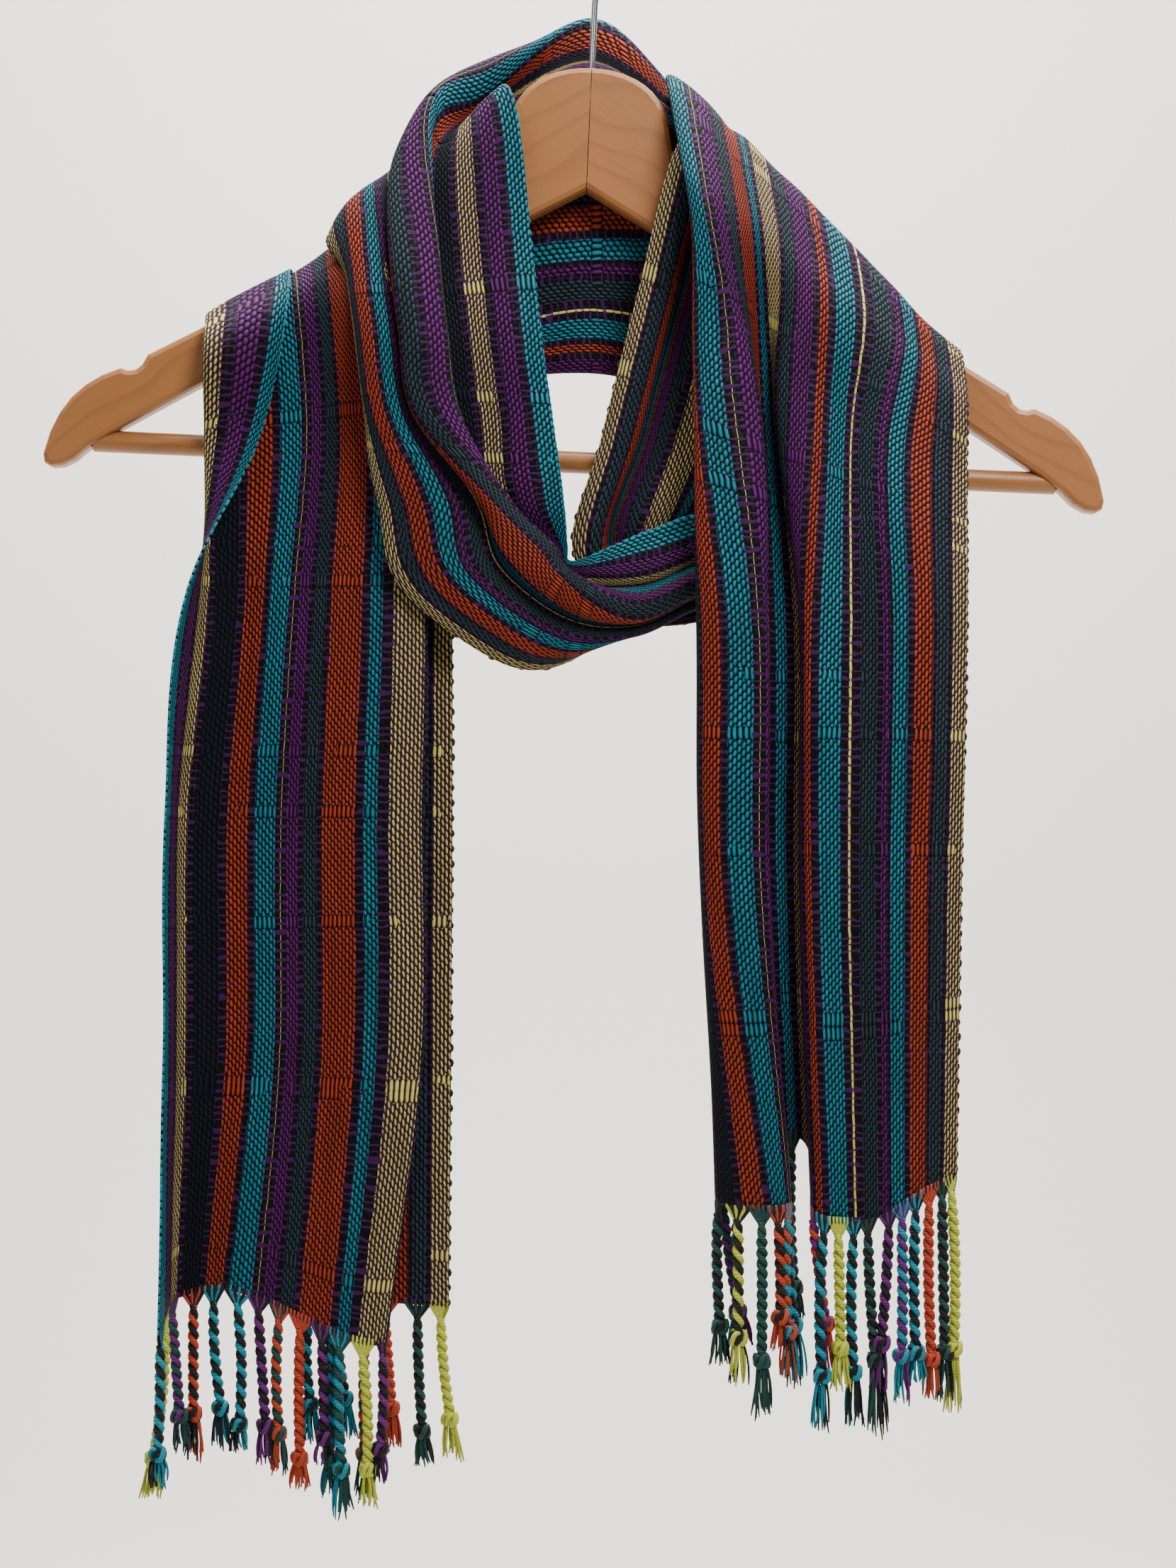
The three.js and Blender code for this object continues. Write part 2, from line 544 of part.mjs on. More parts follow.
/** A closed mesh wall over a grid of distances along the scarf and places among its folds. */
function wallGeometry(distances, positions, thick) {
  const rows = distances.length;
  const columns = positions.length;
  const vertices = [];
  for (const side of [0.5, -0.5]) {
    for (const d of distances) {
      for (const p of positions) {
        const point = clothPoint(d, p).addScaledVector(clothNormal(d, p), side * thick);
        vertices.push(point.x, point.y, point.z);
      }
    }
  }
  const at = (side, r, c) => side * rows * columns + r * columns + c;
  const faces = [];
  const quad = (a, b, c, d) => faces.push(a, b, c, a, c, d);
  for (let r = 0; r < rows - 1; r++) {
    for (let c = 0; c < columns - 1; c++) {
      quad(at(0, r, c), at(0, r, c + 1), at(0, r + 1, c + 1), at(0, r + 1, c));
      quad(at(1, r, c), at(1, r + 1, c), at(1, r + 1, c + 1), at(1, r, c + 1));
    }
  }
  const lastRow = rows - 1;
  const lastColumn = columns - 1;
  for (let c = 0; c < lastColumn; c++) {
    quad(at(0, 0, c), at(1, 0, c), at(1, 0, c + 1), at(0, 0, c + 1));
    quad(at(0, lastRow, c), at(0, lastRow, c + 1), at(1, lastRow, c + 1), at(1, lastRow, c));
  }
  for (let r = 0; r < lastRow; r++) {
    quad(at(0, r, 0), at(0, r + 1, 0), at(1, r + 1, 0), at(1, r, 0));
    quad(at(0, r, lastColumn), at(1, r, lastColumn), at(1, r + 1, lastColumn), at(0, r + 1, lastColumn));
  }
  const geometry = new THREE.BufferGeometry();
  geometry.setAttribute('position', new THREE.Float32BufferAttribute(vertices, 3));
  geometry.setIndex(faces);
  return geometry;
}

/** Evenly spaced values from a to b. */
const spread = (a, b, steps) => Array.from({ length: steps + 1 }, (_, i) => a + ((b - a) * i) / steps);

/** A named mesh with its finish. */
function named(name, geometry, material) {
  const mesh = new THREE.Mesh(geometry, material);
  mesh.name = name;
  return mesh;
}

// ---- Joining and cutting -------------------------------------------------------------------
/** A solid that can be joined and cut, from a closed mesh. */
function solidOf(geometry) {
  const bare = geometry.clone();
  bare.deleteAttribute('normal');
  bare.deleteAttribute('uv');
  const samePoint = 1e-4;
  const merged = mergeVertices(bare, samePoint);
  return new wasm.Manifold(new wasm.Mesh({
    numProp: 3,
    vertProperties: new Float32Array(merged.attributes.position.array),
    triVerts: new Uint32Array(merged.index.array),
  }));
}

/** The mesh of a solid. */
function geometryOf(solid) {
  const mesh = solid.getMesh();
  const geometry = new THREE.BufferGeometry();
  geometry.setAttribute('position', new THREE.BufferAttribute(new Float32Array(mesh.vertProperties), 3));
  geometry.setIndex(new THREE.BufferAttribute(new Uint32Array(mesh.triVerts), 1));
  return geometry;
}

// ---- The hanger ----------------------------------------------------------------------------
// One arm's edge, from the middle of the crown out to the tip and back under. A row with
// handles is a curve that is cut into steps, and a row without them is a straight line.
const ARM_EDGE = [
  { part: 'crown', x: 34, z: -25, handles: [[17, 0], [31.5, -8]], steps: 10 },
  { part: 'flare', x: 60, z: -61, handles: [[35.6, -46], [45.5, -52.9]], steps: 4 },
  { part: 'top of the arm', x: 181, z: -128.5 },
  { part: 'strap notch', x: 192, z: -134.5, handles: [[183.4, -135.5], [187.5, -136.5]], steps: 4 },
  { part: 'shoulder end', x: 223, z: -172, handles: [[208, -140], [219, -151]], steps: 6 },
  { part: 'tip', x: 205, z: -169.5, handles: [[224, -180], [213, -179]], steps: 5 },
  { part: 'hollow under the tip', x: 161, z: -142, handles: [[198, -163.5], [178, -152.5]], steps: 3 },
];

/** The outline of both arms, in the hanger's own frame, heights from the top of the wood. */
function armOutline() {
  const half = [];
  let from = new THREE.Vector2(0, 0);
  for (const { x, z, handles, steps } of ARM_EDGE) {
    const to = new THREE.Vector2(x, z);
    if (handles) {
      const [first, second] = handles.map((handle) => new THREE.Vector2(...handle));
      half.push(...new THREE.CubicBezierCurve(from, first, second, to).getPoints(steps).slice(1));
    } else half.push(to);
    from = to;
  }
  const shape = new THREE.Shape();
  shape.moveTo(0, 0);
  for (const { x, y } of half) shape.lineTo(x, y);
  shape.lineTo(0, -HANGER.notch);
  for (const { x, y } of [...half].reverse()) shape.lineTo(-x, y);
  shape.closePath();
  return shape;
}

/** Both arms as one board with rounded edges, standing in the XZ plane. */
function boardSolid() {
  const { thick, edge, top } = HANGER;
  const geometry = new THREE.ExtrudeGeometry(armOutline(), {
    depth: thick - 2 * edge,
    bevelEnabled: true,
    bevelThickness: edge,
    bevelSize: edge,
    bevelOffset: -edge,
    bevelSegments: 2,
    curveSegments: 1,
  });
  geometry.translate(0, top, edge - thick / 2);
  geometry.rotateX(Math.PI / 2);
  return solidOf(geometry);
}

/** A bar along X at the height of the cross-bar. */
function barGeometry(radius, halfLength, sides) {
  const geometry = new THREE.CylinderGeometry(radius, radius, 2 * halfLength, sides);
  geometry.rotateZ(Math.PI / 2);
  geometry.translate(0, 0, BAR.axis);
  return geometry;
}

/** The blind hole for the hook's shank, sunk from the top of the wood. */
function hookSocket() {
  const pastTop = 4;
  const sides = 12;
  const depth = HOOK.socket + pastTop;
  const radius = HOOK.wire + HOOK.clearance;
  const geometry = new THREE.CylinderGeometry(radius, radius, depth, sides);
  geometry.rotateX(Math.PI / 2);
  geometry.translate(0, 0, HANGER.top - HOOK.socket + depth / 2);
  return solidOf(geometry);
}

/** A block over one side of the hanger, which leaves half of the mitre's gap free. */
function halfSpace(side) {
  const size = 400;
  const geometry = new THREE.BoxGeometry(size, size, size * 2);
  geometry.translate(side * (size / 2 + HANGER.mitreGap / 2), 0, 0);
  return solidOf(geometry);
}

/** The hook's centre line: up the shank, over the rail and round to its tip. */
class HookCurve extends THREE.CurvePath {
  constructor() {
    super();
    const { wire, bend, shankTop, socket, clearance, ease } = HOOK;
    const radius = bend + wire;
    const foot = HANGER.top - socket + clearance;
    const centre = -bend;
    const entry = THREE.MathUtils.degToRad(HOOK.entryAngle);
    const start = new THREE.Vector3(radius * Math.cos(entry), 0, centre + radius * Math.sin(entry));
    const shoulder = new THREE.Vector3(0, 0, shankTop);
    this.add(new THREE.LineCurve3(new THREE.Vector3(0, 0, foot), shoulder));
    const tangent = new THREE.Vector3(-Math.sin(entry), 0, Math.cos(entry));
    this.add(new THREE.CubicBezierCurve3(
      shoulder,
      new THREE.Vector3(0, 0, shankTop + ease),
      start.clone().addScaledVector(tangent, -ease),
      start,
    ));
    const arc = THREE.MathUtils.degToRad(HOOK.sweepAngle);
    const pieces = 12;
    const points = spread(entry, entry + arc, pieces).map(
      (angle) => new THREE.Vector3(radius * Math.cos(angle), 0, centre + radius * Math.sin(angle)),
    );
    this.add(new THREE.CatmullRomCurve3(points));
  }
}

/** The bent wire of the hook. */
function hookGeometry() {
  const rings = 26;
  const quarterSides = 3;
  const circle = new THREE.Shape();
  circle.absarc(0, 0, HOOK.wire, 0, 2 * Math.PI);
  return new THREE.ExtrudeGeometry(circle, {
    extrudePath: new HookCurve(),
    steps: rings,
    curveSegments: quarterSides,
  });
}

/** The two arms, the bar and the hook, hung a little askew. */
function makeHanger() {
  const group = new THREE.Group();
  group.rotation.y = THREE.MathUtils.degToRad(HANGER.tilt);
  const { radius, halfLength, clearance, sides } = BAR;
  const holes = solidOf(barGeometry(radius + clearance, halfLength + clearance, sides)).add(hookSocket());
  const board = boardSolid().subtract(holes);
  const arms = [{ name: 'hanger_board_left', side: -1 }, { name: 'hanger_board_right', side: 1 }];
  for (const { name, side } of arms) {
    group.add(named(name, geometryOf(board.intersect(halfSpace(side))), WOOD));
  }
  group.add(named('hanger_bar', barGeometry(radius, halfLength, sides), WOOD));
  group.add(named('hanger_hook', hookGeometry(), STEEL));
  return group;
}

// ---- Fringe --------------------------------------------------------------------------------
// Each row is one twisted cord: its root across the cloth, its length down to the knot, the
// length of the tuft under the knot, and how far its foot leans to the side.
const FRINGE_LEFT = [
  { across: 3, cord: 46, tuft: 15, lean: -2 },
  { across: 15, cord: 49, tuft: 16, lean: -1 },
  { across: 28, cord: 46, tuft: 16, lean: 0 },
  { across: 40, cord: 48, tuft: 18, lean: 2 },
  { across: 52, cord: 52, tuft: 14, lean: 1 },
  { across: 64, cord: 50, tuft: 17, lean: 3 },
  { across: 76, cord: 49, tuft: 17, lean: 1 },
  { across: 89, cord: 56, tuft: 13, lean: 1 },
  { across: 101, cord: 54, tuft: 16, lean: 0 },
  { across: 113, cord: 50, tuft: 20, lean: 1 },
  { across: 125, cord: 54, tuft: 18, lean: 1 },
  { across: 137, cord: 50, tuft: 15, lean: 0 },
  { across: 150, cord: 42, tuft: 16, lean: 1 },
  { across: 163, cord: 44, tuft: 15, lean: 0 },
  { across: 176, cord: 41, tuft: 16, lean: 1 },
  { across: 189, cord: 40, tuft: 17, lean: 2 },
  { across: 203, cord: 42, tuft: 18, lean: 3 },
  { across: 217, cord: 52, tuft: 14, lean: 2 },
  { across: 231, cord: 46, tuft: 17, lean: 4 },
];
const FRINGE_RIGHT = [
  { across: 4, cord: 44, tuft: 16, lean: 0 },
  { across: 18, cord: 48, tuft: 18, lean: -1 },
  { across: 31, cord: 50, tuft: 18, lean: -1 },
  { across: 43, cord: 58, tuft: 22, lean: -1 },
  { across: 53, cord: 40, tuft: 14, lean: 1 },
  { across: 62, cord: 36, tuft: 20, lean: 0 },
  { across: 71, cord: 47, tuft: 19, lean: 0 },
  { across: 113, cord: 62, tuft: 18, lean: 0 },
  { across: 146, cord: 55, tuft: 20, lean: -2 },
  { across: 154, cord: 56, tuft: 21, lean: -2 },
  { across: 162, cord: 50, tuft: 22, lean: 0 },
  { across: 173, cord: 58, tuft: 20, lean: 1 },
  { across: 184, cord: 56, tuft: 30, lean: 2 },
  { across: 195, cord: 58, tuft: 18, lean: -1 },
  { across: 206, cord: 60, tuft: 16, lean: -1 },
  { across: 218, cord: 66, tuft: 15, lean: -1 },
  { across: 230, cord: 68, tuft: 24, lean: -1 },
];

/** The place among the folds where the cloth is a given distance from its teal selvage. */
function placeAcross(row, across) {
  const folds = SECTIONS[row];
  const measure = (position) => {
    let sum = 0;
    for (const [j, w] of foldWeights(position)) sum += w * folds[j][3];
    return sum;
  };
  let low = 0;
  let high = FOLDS - 1;
  const halvings = 30;
  for (let i = 0; i < halvings; i++) {
    const middle = (low + high) / 2;
    if (measure(middle) < across) low = middle;
    else high = middle;
  }
  return low;
}

/** One cord: a slim three-sided strand, its knot and its flared tuft. */
function cordSolid(root, { cord, tuft, lean }, turn) {
  const { radius, knot, sides, overlap, rootShare, rootTaper, knotRise, swing } = CORD;
  const rings = [
    { down: -overlap, radius: radius * rootShare },
    { down: rootTaper, radius },
    { down: cord - knotRise, radius },
    { down: cord, radius: knot },
    { down: cord + tuft, radius: CORD.tuft },
  ];
  const vertices = [];
  for (const ring of rings) {
    const drift = lean * Math.min(Math.max(ring.down / cord, 0), swing);
    for (let k = 0; k < sides; k++) {
      const angle = turn + (2 * Math.PI * k) / sides;
      vertices.push(
        root.x + drift + ring.radius * Math.cos(angle),
        root.y + ring.radius * Math.sin(angle),
        root.z - ring.down,
      );
    }
  }
  const faces = [];
  for (let r = 0; r < rings.length - 1; r++) {
    for (let k = 0; k < sides; k++) {
      const next = (k + 1) % sides;
      const [a, b] = [r * sides + k, r * sides + next];
      faces.push(a, a + sides, b + sides, a, b + sides, b);
    }
  }
  for (let k = 1; k < sides - 1; k++) {
    const base = (rings.length - 1) * sides;
    faces.push(0, k, k + 1);
    faces.push(base, base + k + 1, base + k);
  }
  const geometry = new THREE.BufferGeometry();
  geometry.setAttribute('position', new THREE.Float32BufferAttribute(vertices, 3));
  geometry.setIndex(faces);
  return solidOf(geometry);
}

/** A narrow strip just past the hem, with the cords fused to it. */
function fringeSolid(rowName, outwardSign, cords) {
  const row = indexOf(rowName);
  const edge = STATIONS[row];
  const near = edge + outwardSign * CLOTH.hemGap;
  const distances = [near, near + outwardSign * CORD.stripDepth];
  if (outwardSign < 0) distances.reverse();
  let solid = solidOf(wallGeometry(distances, ACROSS, CLOTH.thick));
  cords.forEach((cord, i) => {
    const root = clothPoint(near + outwardSign * (CORD.stripDepth / 2), placeAcross(row, cord.across));
    solid = solid.add(cordSolid(root, cord, CORD.firstTurn + i * CORD.turnStep));
  });
  return geometryOf(solid);
}

// ---- Assembly ------------------------------------------------------------------------------
const ACROSS = spread(0, FOLDS - 1, CLOTH.columns);

/** The distances at which a stretch of the route is cut, with a gap left at each seam. */
function stretchDistances(from, to) {
  const first = indexOf(from);
  const last = indexOf(to);
  const gap = CLOTH.seam;
  const distances = [STATIONS[first] + (first > 0 ? gap : 0)];
  for (let row = first + 1; row <= last; row++) {
    distances.push(...spread(STATIONS[row - 1], STATIONS[row], ROUTE[row].steps).slice(1));
  }
  if (last < ROUTE.length - 1) distances[distances.length - 1] -= gap;
  return distances;
}

const scarfOnHanger = new THREE.Group();
scarfOnHanger.add(makeHanger());
for (const { node, from, to, finish: material } of STRETCHES) {
  const wall = wallGeometry(stretchDistances(from, to), ACROSS, CLOTH.thick);
  scarfOnHanger.add(named(node, wall, material));
}
scarfOnHanger.add(named('fringe_left', fringeSolid('left hem', -1, FRINGE_LEFT), FRINGE));
scarfOnHanger.add(named('fringe_right', fringeSolid('right hem', 1, FRINGE_RIGHT), FRINGE));

export default scarfOnHanger;
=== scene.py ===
"""A striped hand-woven scarf with a twisted fringe, wound once round the neck of a wooden hanger.

The frame is the construction's: metres, +Z up, +X to the viewer's right and -Y towards the viewer,
with the origin where the hook bears on its rail. Tables hold millimetres, and MM turns them into metres.
"""
from __future__ import annotations

import json
import logging
import math
import random
from dataclasses import dataclass, field
from enum import Enum
from typing import NamedTuple, Sequence

import bmesh
import bpy
import numpy as np
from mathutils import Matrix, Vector

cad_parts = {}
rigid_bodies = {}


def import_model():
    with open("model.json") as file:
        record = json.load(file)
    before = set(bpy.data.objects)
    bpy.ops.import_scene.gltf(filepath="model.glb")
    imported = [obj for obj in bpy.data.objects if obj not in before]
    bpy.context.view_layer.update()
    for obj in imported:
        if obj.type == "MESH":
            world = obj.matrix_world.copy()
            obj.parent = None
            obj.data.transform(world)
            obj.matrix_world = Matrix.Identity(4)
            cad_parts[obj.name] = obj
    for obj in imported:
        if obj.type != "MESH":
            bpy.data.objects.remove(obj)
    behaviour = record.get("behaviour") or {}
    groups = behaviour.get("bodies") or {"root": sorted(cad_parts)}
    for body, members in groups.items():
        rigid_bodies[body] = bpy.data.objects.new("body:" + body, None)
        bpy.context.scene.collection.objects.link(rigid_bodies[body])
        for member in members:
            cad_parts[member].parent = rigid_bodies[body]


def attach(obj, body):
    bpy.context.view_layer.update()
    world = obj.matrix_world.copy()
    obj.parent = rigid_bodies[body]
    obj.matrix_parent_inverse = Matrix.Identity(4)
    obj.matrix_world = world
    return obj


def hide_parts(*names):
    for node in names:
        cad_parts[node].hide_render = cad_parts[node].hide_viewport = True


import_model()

LOG = logging.getLogger("scarf")
MM = 0.001


# ---- Named options -----------------------------------------------------------------------------
class Pleat(Enum):
    """The ways in which the cloth is pleated along its length."""

    HEM_LEFT = "spread at the left hem"
    TAIL_LEFT = "left tail"
    FLAP_LEFT = "turned-over flap under the left shoulder"
    SHOULDER_LEFT = "over the left arm"
    NECK_UNDER = "behind the neck, first pass"
    STRIP = "narrow strip in front of the right arm"
    TURN = "gathered at its turn"
    COWL_END = "right end of the cowl"
    COWL_FRONT = "bottom of the cowl"
    COWL_SIDE = "side of the cowl"
    COWL_UP = "rising side of the cowl"
    CREST_LEFT = "over the left shoulder"
    ARCH_LEFT = "rolled edge left of the hook"
    ARCH = "behind the neck, second pass"
    FAN = "spread over the right shoulder"
    TAIL_RIGHT_TOP = "top of the right tail"
    TAIL_RIGHT = "right tail"
    HEM_RIGHT = "turned a little at the right hem"


class Yarn(Enum):
    """The colours of the yarns, as red, green and blue from 0 to 255."""

    TEAL = (0, 126, 146)
    ORANGE = (170, 56, 28)
    PURPLE = (92, 12, 100)
    YELLOW = (212, 202, 100)
    LIME = (184, 190, 60)
    SLATE = (38, 60, 68)
    NAVY = (9, 19, 34)
    BLACK = (8, 7, 12)
    GREEN = (12, 62, 58)
    PLUM = (46, 14, 48)
    RUNG = (58, 14, 68)

    @property
    def linear(self) -> tuple[float, float, float, float]:
        """The colour as the shaders take it."""
        parts = [channel / 255 for channel in self.value]
        straight = [p / 12.92 if p <= 0.04045 else ((p + 0.055) / 1.055) ** 2.4 for p in parts]
        return (straight[0], straight[1], straight[2], 1.0)


class Side(Enum):
    """The two selvages of the cloth, by the colour of the stripe beside them."""

    TEAL = "teal"
    YELLOW = "yellow"


# ---- The cloth's folds and route ---------------------------------------------------------------
class Fold(NamedTuple):
    """One fold of a cross-section.

    across is its distance from the teal selvage in mm, along its place on the section's chord from
    0 to 1, and out how far it stands out from the chord in mm.
    """

    across: float
    along: float
    out: float


class Section(NamedTuple):
    """One cross-section of the wound scarf: its chord from selvage to selvage, and its pleats.

    facing turns the way the pleats stand out: 0 is towards the viewer, 90 up and 180 away.
    """

    name: str
    pleat: Pleat
    teal: tuple[float, float, float]
    yellow: tuple[float, float, float]
    facing: float


def folds(*rows: tuple[float, float, float]) -> tuple[Fold, ...]:
    """Names the columns of a table of folds.

    Args:
        rows: each fold's across, along and out.

    Returns:
        The folds.
    """
    return tuple(Fold(*row) for row in rows)


PLEATS: dict[Pleat, tuple[Fold, ...]] = {
    Pleat.HEM_LEFT: folds(
        (0, 0.0, 25), (9, 0.01, 18), (20, 0.015, 10), (31, 0.02, 4), (44, 0.13, 2), (57, 0.21, 4),
        (69, 0.33, 5), (82, 0.4, 3), (98, 0.52, 6), (118, 0.66, 10), (134, 0.79, 11.5), (139, 0.79, 6),
        (174, 0.48, 5.5), (180, 0.48, 0), (209, 0.78, 0), (235, 1.0, 0),
    ),
    Pleat.TAIL_LEFT: folds(
        (0, 0.0, 24), (10, 0.005, 17), (20, 0.02, 10), (31, 0.035, 5), (44, 0.19, 3), (57, 0.29, 5),
        (69, 0.39, 5), (82, 0.47, 3), (98, 0.58, 6), (118, 0.75, 10), (134, 0.91, 11.5), (139, 0.91, 6),
        (178, 0.54, 5.5), (184, 0.54, 0), (224, 0.9, 0), (235, 1.0, 0),
    ),
    Pleat.FLAP_LEFT: folds(
        (0, 0.25, 8), (9, 0.21, 8.5), (22, 0.07, 7.5), (30, 0.0, 2), (40, 0.13, 0), (57, 0.33, 1),
        (69, 0.43, 2), (82, 0.51, 1), (98, 0.6, 4), (118, 0.74, 8), (134, 0.88, 9.5), (139, 0.88, 5),
        (178, 0.56, 4.5), (184, 0.56, 0), (220, 0.9, 0), (235, 1.0, 0),
    ),
    Pleat.SHOULDER_LEFT: folds(
        (0, 0.46, 2.8), (9, 0.4, 3), (22, 0.12, 3), (30, 0.0, 1.2), (40, 0.14, 0), (57, 0.36, 0),
        (69, 0.5, 0.2), (82, 0.6, 1.2), (98, 0.68, 4), (118, 0.79, 4.8), (134, 0.92, 5), (139, 0.92, 2.8),
        (178, 0.7, 2.4), (184, 0.7, 0), (220, 0.92, 0), (235, 1.0, 0),
    ),
    Pleat.NECK_UNDER: folds(
        (0, 0.27, 16), (24, 0.08, 16), (31, 0.04, 11.5), (55, 0.3, 11), (82, 0.58, 10.5), (88, 0.58, 6),
        (115, 0.3, 5.5), (140, 0.03, 5), (147, 0.0, 0.8), (157, 0.1, 0), (168, 0.18, 0.5), (180, 0.31, 1),
        (192, 0.42, 0), (203, 0.57, 0), (215, 0.76, 0), (235, 1.0, 0),
    ),
    Pleat.STRIP: folds(
        (0, 0.2, -1), (24, 0.02, 0), (31, 0.02, 4), (46, 0.12, 5.5), (60, 0.22, 4), (74, 0.31, 2),
        (88, 0.38, 4.5), (104, 0.48, 5.5), (119, 0.58, 4.5), (134, 0.71, 4), (146, 0.81, 1.5),
        (185, 0.84, -1.5), (214, 0.855, 3), (222, 0.9, 5.5), (229, 0.965, 5), (235, 1.0, 3),
    ),
    Pleat.TURN: folds(
        (0, 0.0, 0), (12, 0.12, 0.8), (24, 0.26, 1), (36, 0.36, 0), (48, 0.42, -0.8), (60, 0.48, 0),
        (70, 0.54, 0.8), (80, 0.63, 1.2), (92, 0.74, 1), (110, 0.8, 0), (130, 0.83, -0.8), (155, 0.86, -1),
        (180, 0.89, -0.5), (200, 0.93, 0.4), (218, 0.97, 0.6), (235, 1.0, 0),
    ),
    Pleat.COWL_END: folds(
        (0, 0.0, -1), (8, 0.2, 0.5), (19, 0.42, 1), (34, 0.5, -1.5), (46, 0.5, -2.5), (57, 0.5, 0),
        (66, 0.57, 1.5), (73, 0.6, 3), (80, 0.66, 4.5), (91, 0.83, 4), (97, 0.86, 0.5), (130, 0.78, -2),
        (172, 0.82, -3.5), (190, 0.93, -0.5), (207, 1.0, -2.5), (235, 0.8, -7),
    ),
    Pleat.COWL_FRONT: folds(
        (0, 0.0, -6), (8, 0.03, -5.5), (19, 0.06, -6), (32, 0.14, -7.5), (47, 0.2, -7.5), (58, 0.17, -3),
        (72, 0.06, 0), (80, 0.06, 5), (91, 0.14, 8), (106, 0.36, 6.5), (114, 0.38, 1), (150, 0.3, -4),
        (184, 0.42, -2.5), (202, 0.63, 1.5), (216, 0.82, 0.5), (235, 1.0, -4),
    ),
    Pleat.COWL_SIDE: folds(
        (0, 0.0, -2), (8, 0.09, -1), (19, 0.25, -3), (32, 0.36, -6.5), (47, 0.43, -7.5), (60, 0.4, -3),
        (74, 0.25, 0.5), (80, 0.25, 5.5), (89, 0.34, 8), (98, 0.44, 6), (106, 0.45, 1), (150, 0.36, -4),
        (190, 0.48, -4), (202, 0.64, 1.5), (216, 0.85, 0.5), (235, 1.0, -3),
    ),
    Pleat.COWL_UP: folds(
        (0, 0.0, -2), (8, 0.1, -1), (19, 0.25, -3.5), (32, 0.39, -7), (45, 0.55, -8), (56, 0.58, -4),
        (67, 0.49, -1), (71, 0.49, 4), (80, 0.62, 6.5), (89, 0.74, 5), (95, 0.75, 0.5), (145, 0.66, -3.5),
        (190, 0.72, -4.5), (204, 0.82, 0.5), (218, 0.97, 0), (235, 0.98, -6),
    ),
    Pleat.CREST_LEFT: folds(
        (0, 0.0, 0), (8, 0.07, 0.5), (19, 0.19, -1), (31, 0.3, -3), (43, 0.41, -2), (52, 0.46, 6),
        (59, 0.42, 15), (66, 0.43, 22), (75, 0.52, 26), (86, 0.6, 20), (94, 0.64, 13), (130, 0.62, 8),
        (185, 0.68, 4), (204, 0.82, 5), (218, 0.95, 4), (235, 1.02, 0.5),
    ),
    Pleat.ARCH_LEFT: folds(
        (0, 0.38, -0.5), (10, 0.33, 0.5), (20, 0.29, 2), (31, 0.26, 3), (43, 0.23, 3.5), (52, 0.21, 1.5),
        (59, 0.18, -3), (66, 0.08, -4.5), (76, 0.0, 1), (92, 0.07, 9), (112, 0.3, 15), (136, 0.55, 17.5),
        (160, 0.78, 19.5), (184, 0.98, 20), (196, 0.97, 25.5), (235, 0.66, 27),
    ),
    Pleat.ARCH: folds(
        (0, 0.25, 0), (10, 0.18, 1), (20, 0.17, 2.5), (31, 0.16, 3.5), (43, 0.135, 3.5), (52, 0.07, 4),
        (59, 0.0, 5), (66, 0.0, 10), (76, 0.08, 12.5), (92, 0.22, 14), (112, 0.4, 15), (136, 0.61, 17.5),
        (160, 0.81, 19.5), (184, 0.98, 20), (196, 0.97, 25.5), (235, 0.66, 27),
    ),
    Pleat.FAN: folds(
        (0, 0.14, -2), (14, 0.11, -2.5), (28, 0.09, -2.5), (44, 0.05, -2), (54, 0.01, 0), (62, 0.02, 5),
        (75, 0.14, 7), (98, 0.22, 4), (124, 0.29, 7.5), (140, 0.37, 4), (154, 0.45, 5.5), (168, 0.54, 4),
        (182, 0.66, 3), (200, 0.78, 0), (219, 0.9, -1.5), (235, 1.0, 0),
    ),
    Pleat.TAIL_RIGHT_TOP: folds(
        (0, 0.2, -6), (22, 0.06, -4.5), (44, 0.02, -1.5), (53, -0.005, 2.5), (63, 0.05, 8), (75, 0.21, 9),
        (84, 0.24, 1), (104, 0.22, -5), (122, 0.32, -5), (132, 0.29, 0.5), (142, 0.33, 7.5), (160, 0.45, 9),
        (178, 0.57, 2), (200, 0.69, 7), (219, 0.88, 4), (235, 1.0, 0),
    ),
    Pleat.TAIL_RIGHT: folds(
        (0, 0.14, -6), (28, 0.02, -4), (38, -0.005, 2), (49, 0.03, 7.5), (62, 0.15, 10), (72, 0.26, 9),
        (80, 0.27, 1), (102, 0.2, -5.5), (124, 0.42, -6), (140, 0.38, 0), (157, 0.37, 7.5), (167, 0.45, 10),
        (181, 0.58, 2.5), (200, 0.71, 8), (219, 0.88, 5), (235, 1.0, 0),
    ),
    Pleat.HEM_RIGHT: folds(
        (0, 0.14, -6), (28, 0.0, -2), (38, 0.06, 4), (49, 0.17, 7.5), (62, 0.29, 9), (72, 0.33, 7),
        (80, 0.32, 0), (102, 0.24, -5.5), (124, 0.43, -6), (140, 0.41, 0), (157, 0.41, 7), (167, 0.48, 9),
        (181, 0.6, 3), (200, 0.72, 7), (219, 0.88, 5), (235, 1.0, 0),
    ),
}

HEM_DROP: dict[Pleat, tuple[float, ...]] = {
    Pleat.HEM_LEFT: (-10, -6, -1, 3, 5, 7, 3, -2, -8, -15, -16, -13, -4, -2, 1, -2),
    Pleat.HEM_RIGHT: (4, 3, 2, 0, 0, 1, 3, 30, 30, 4, -3, -5, -6, -2, 8, 12),
}

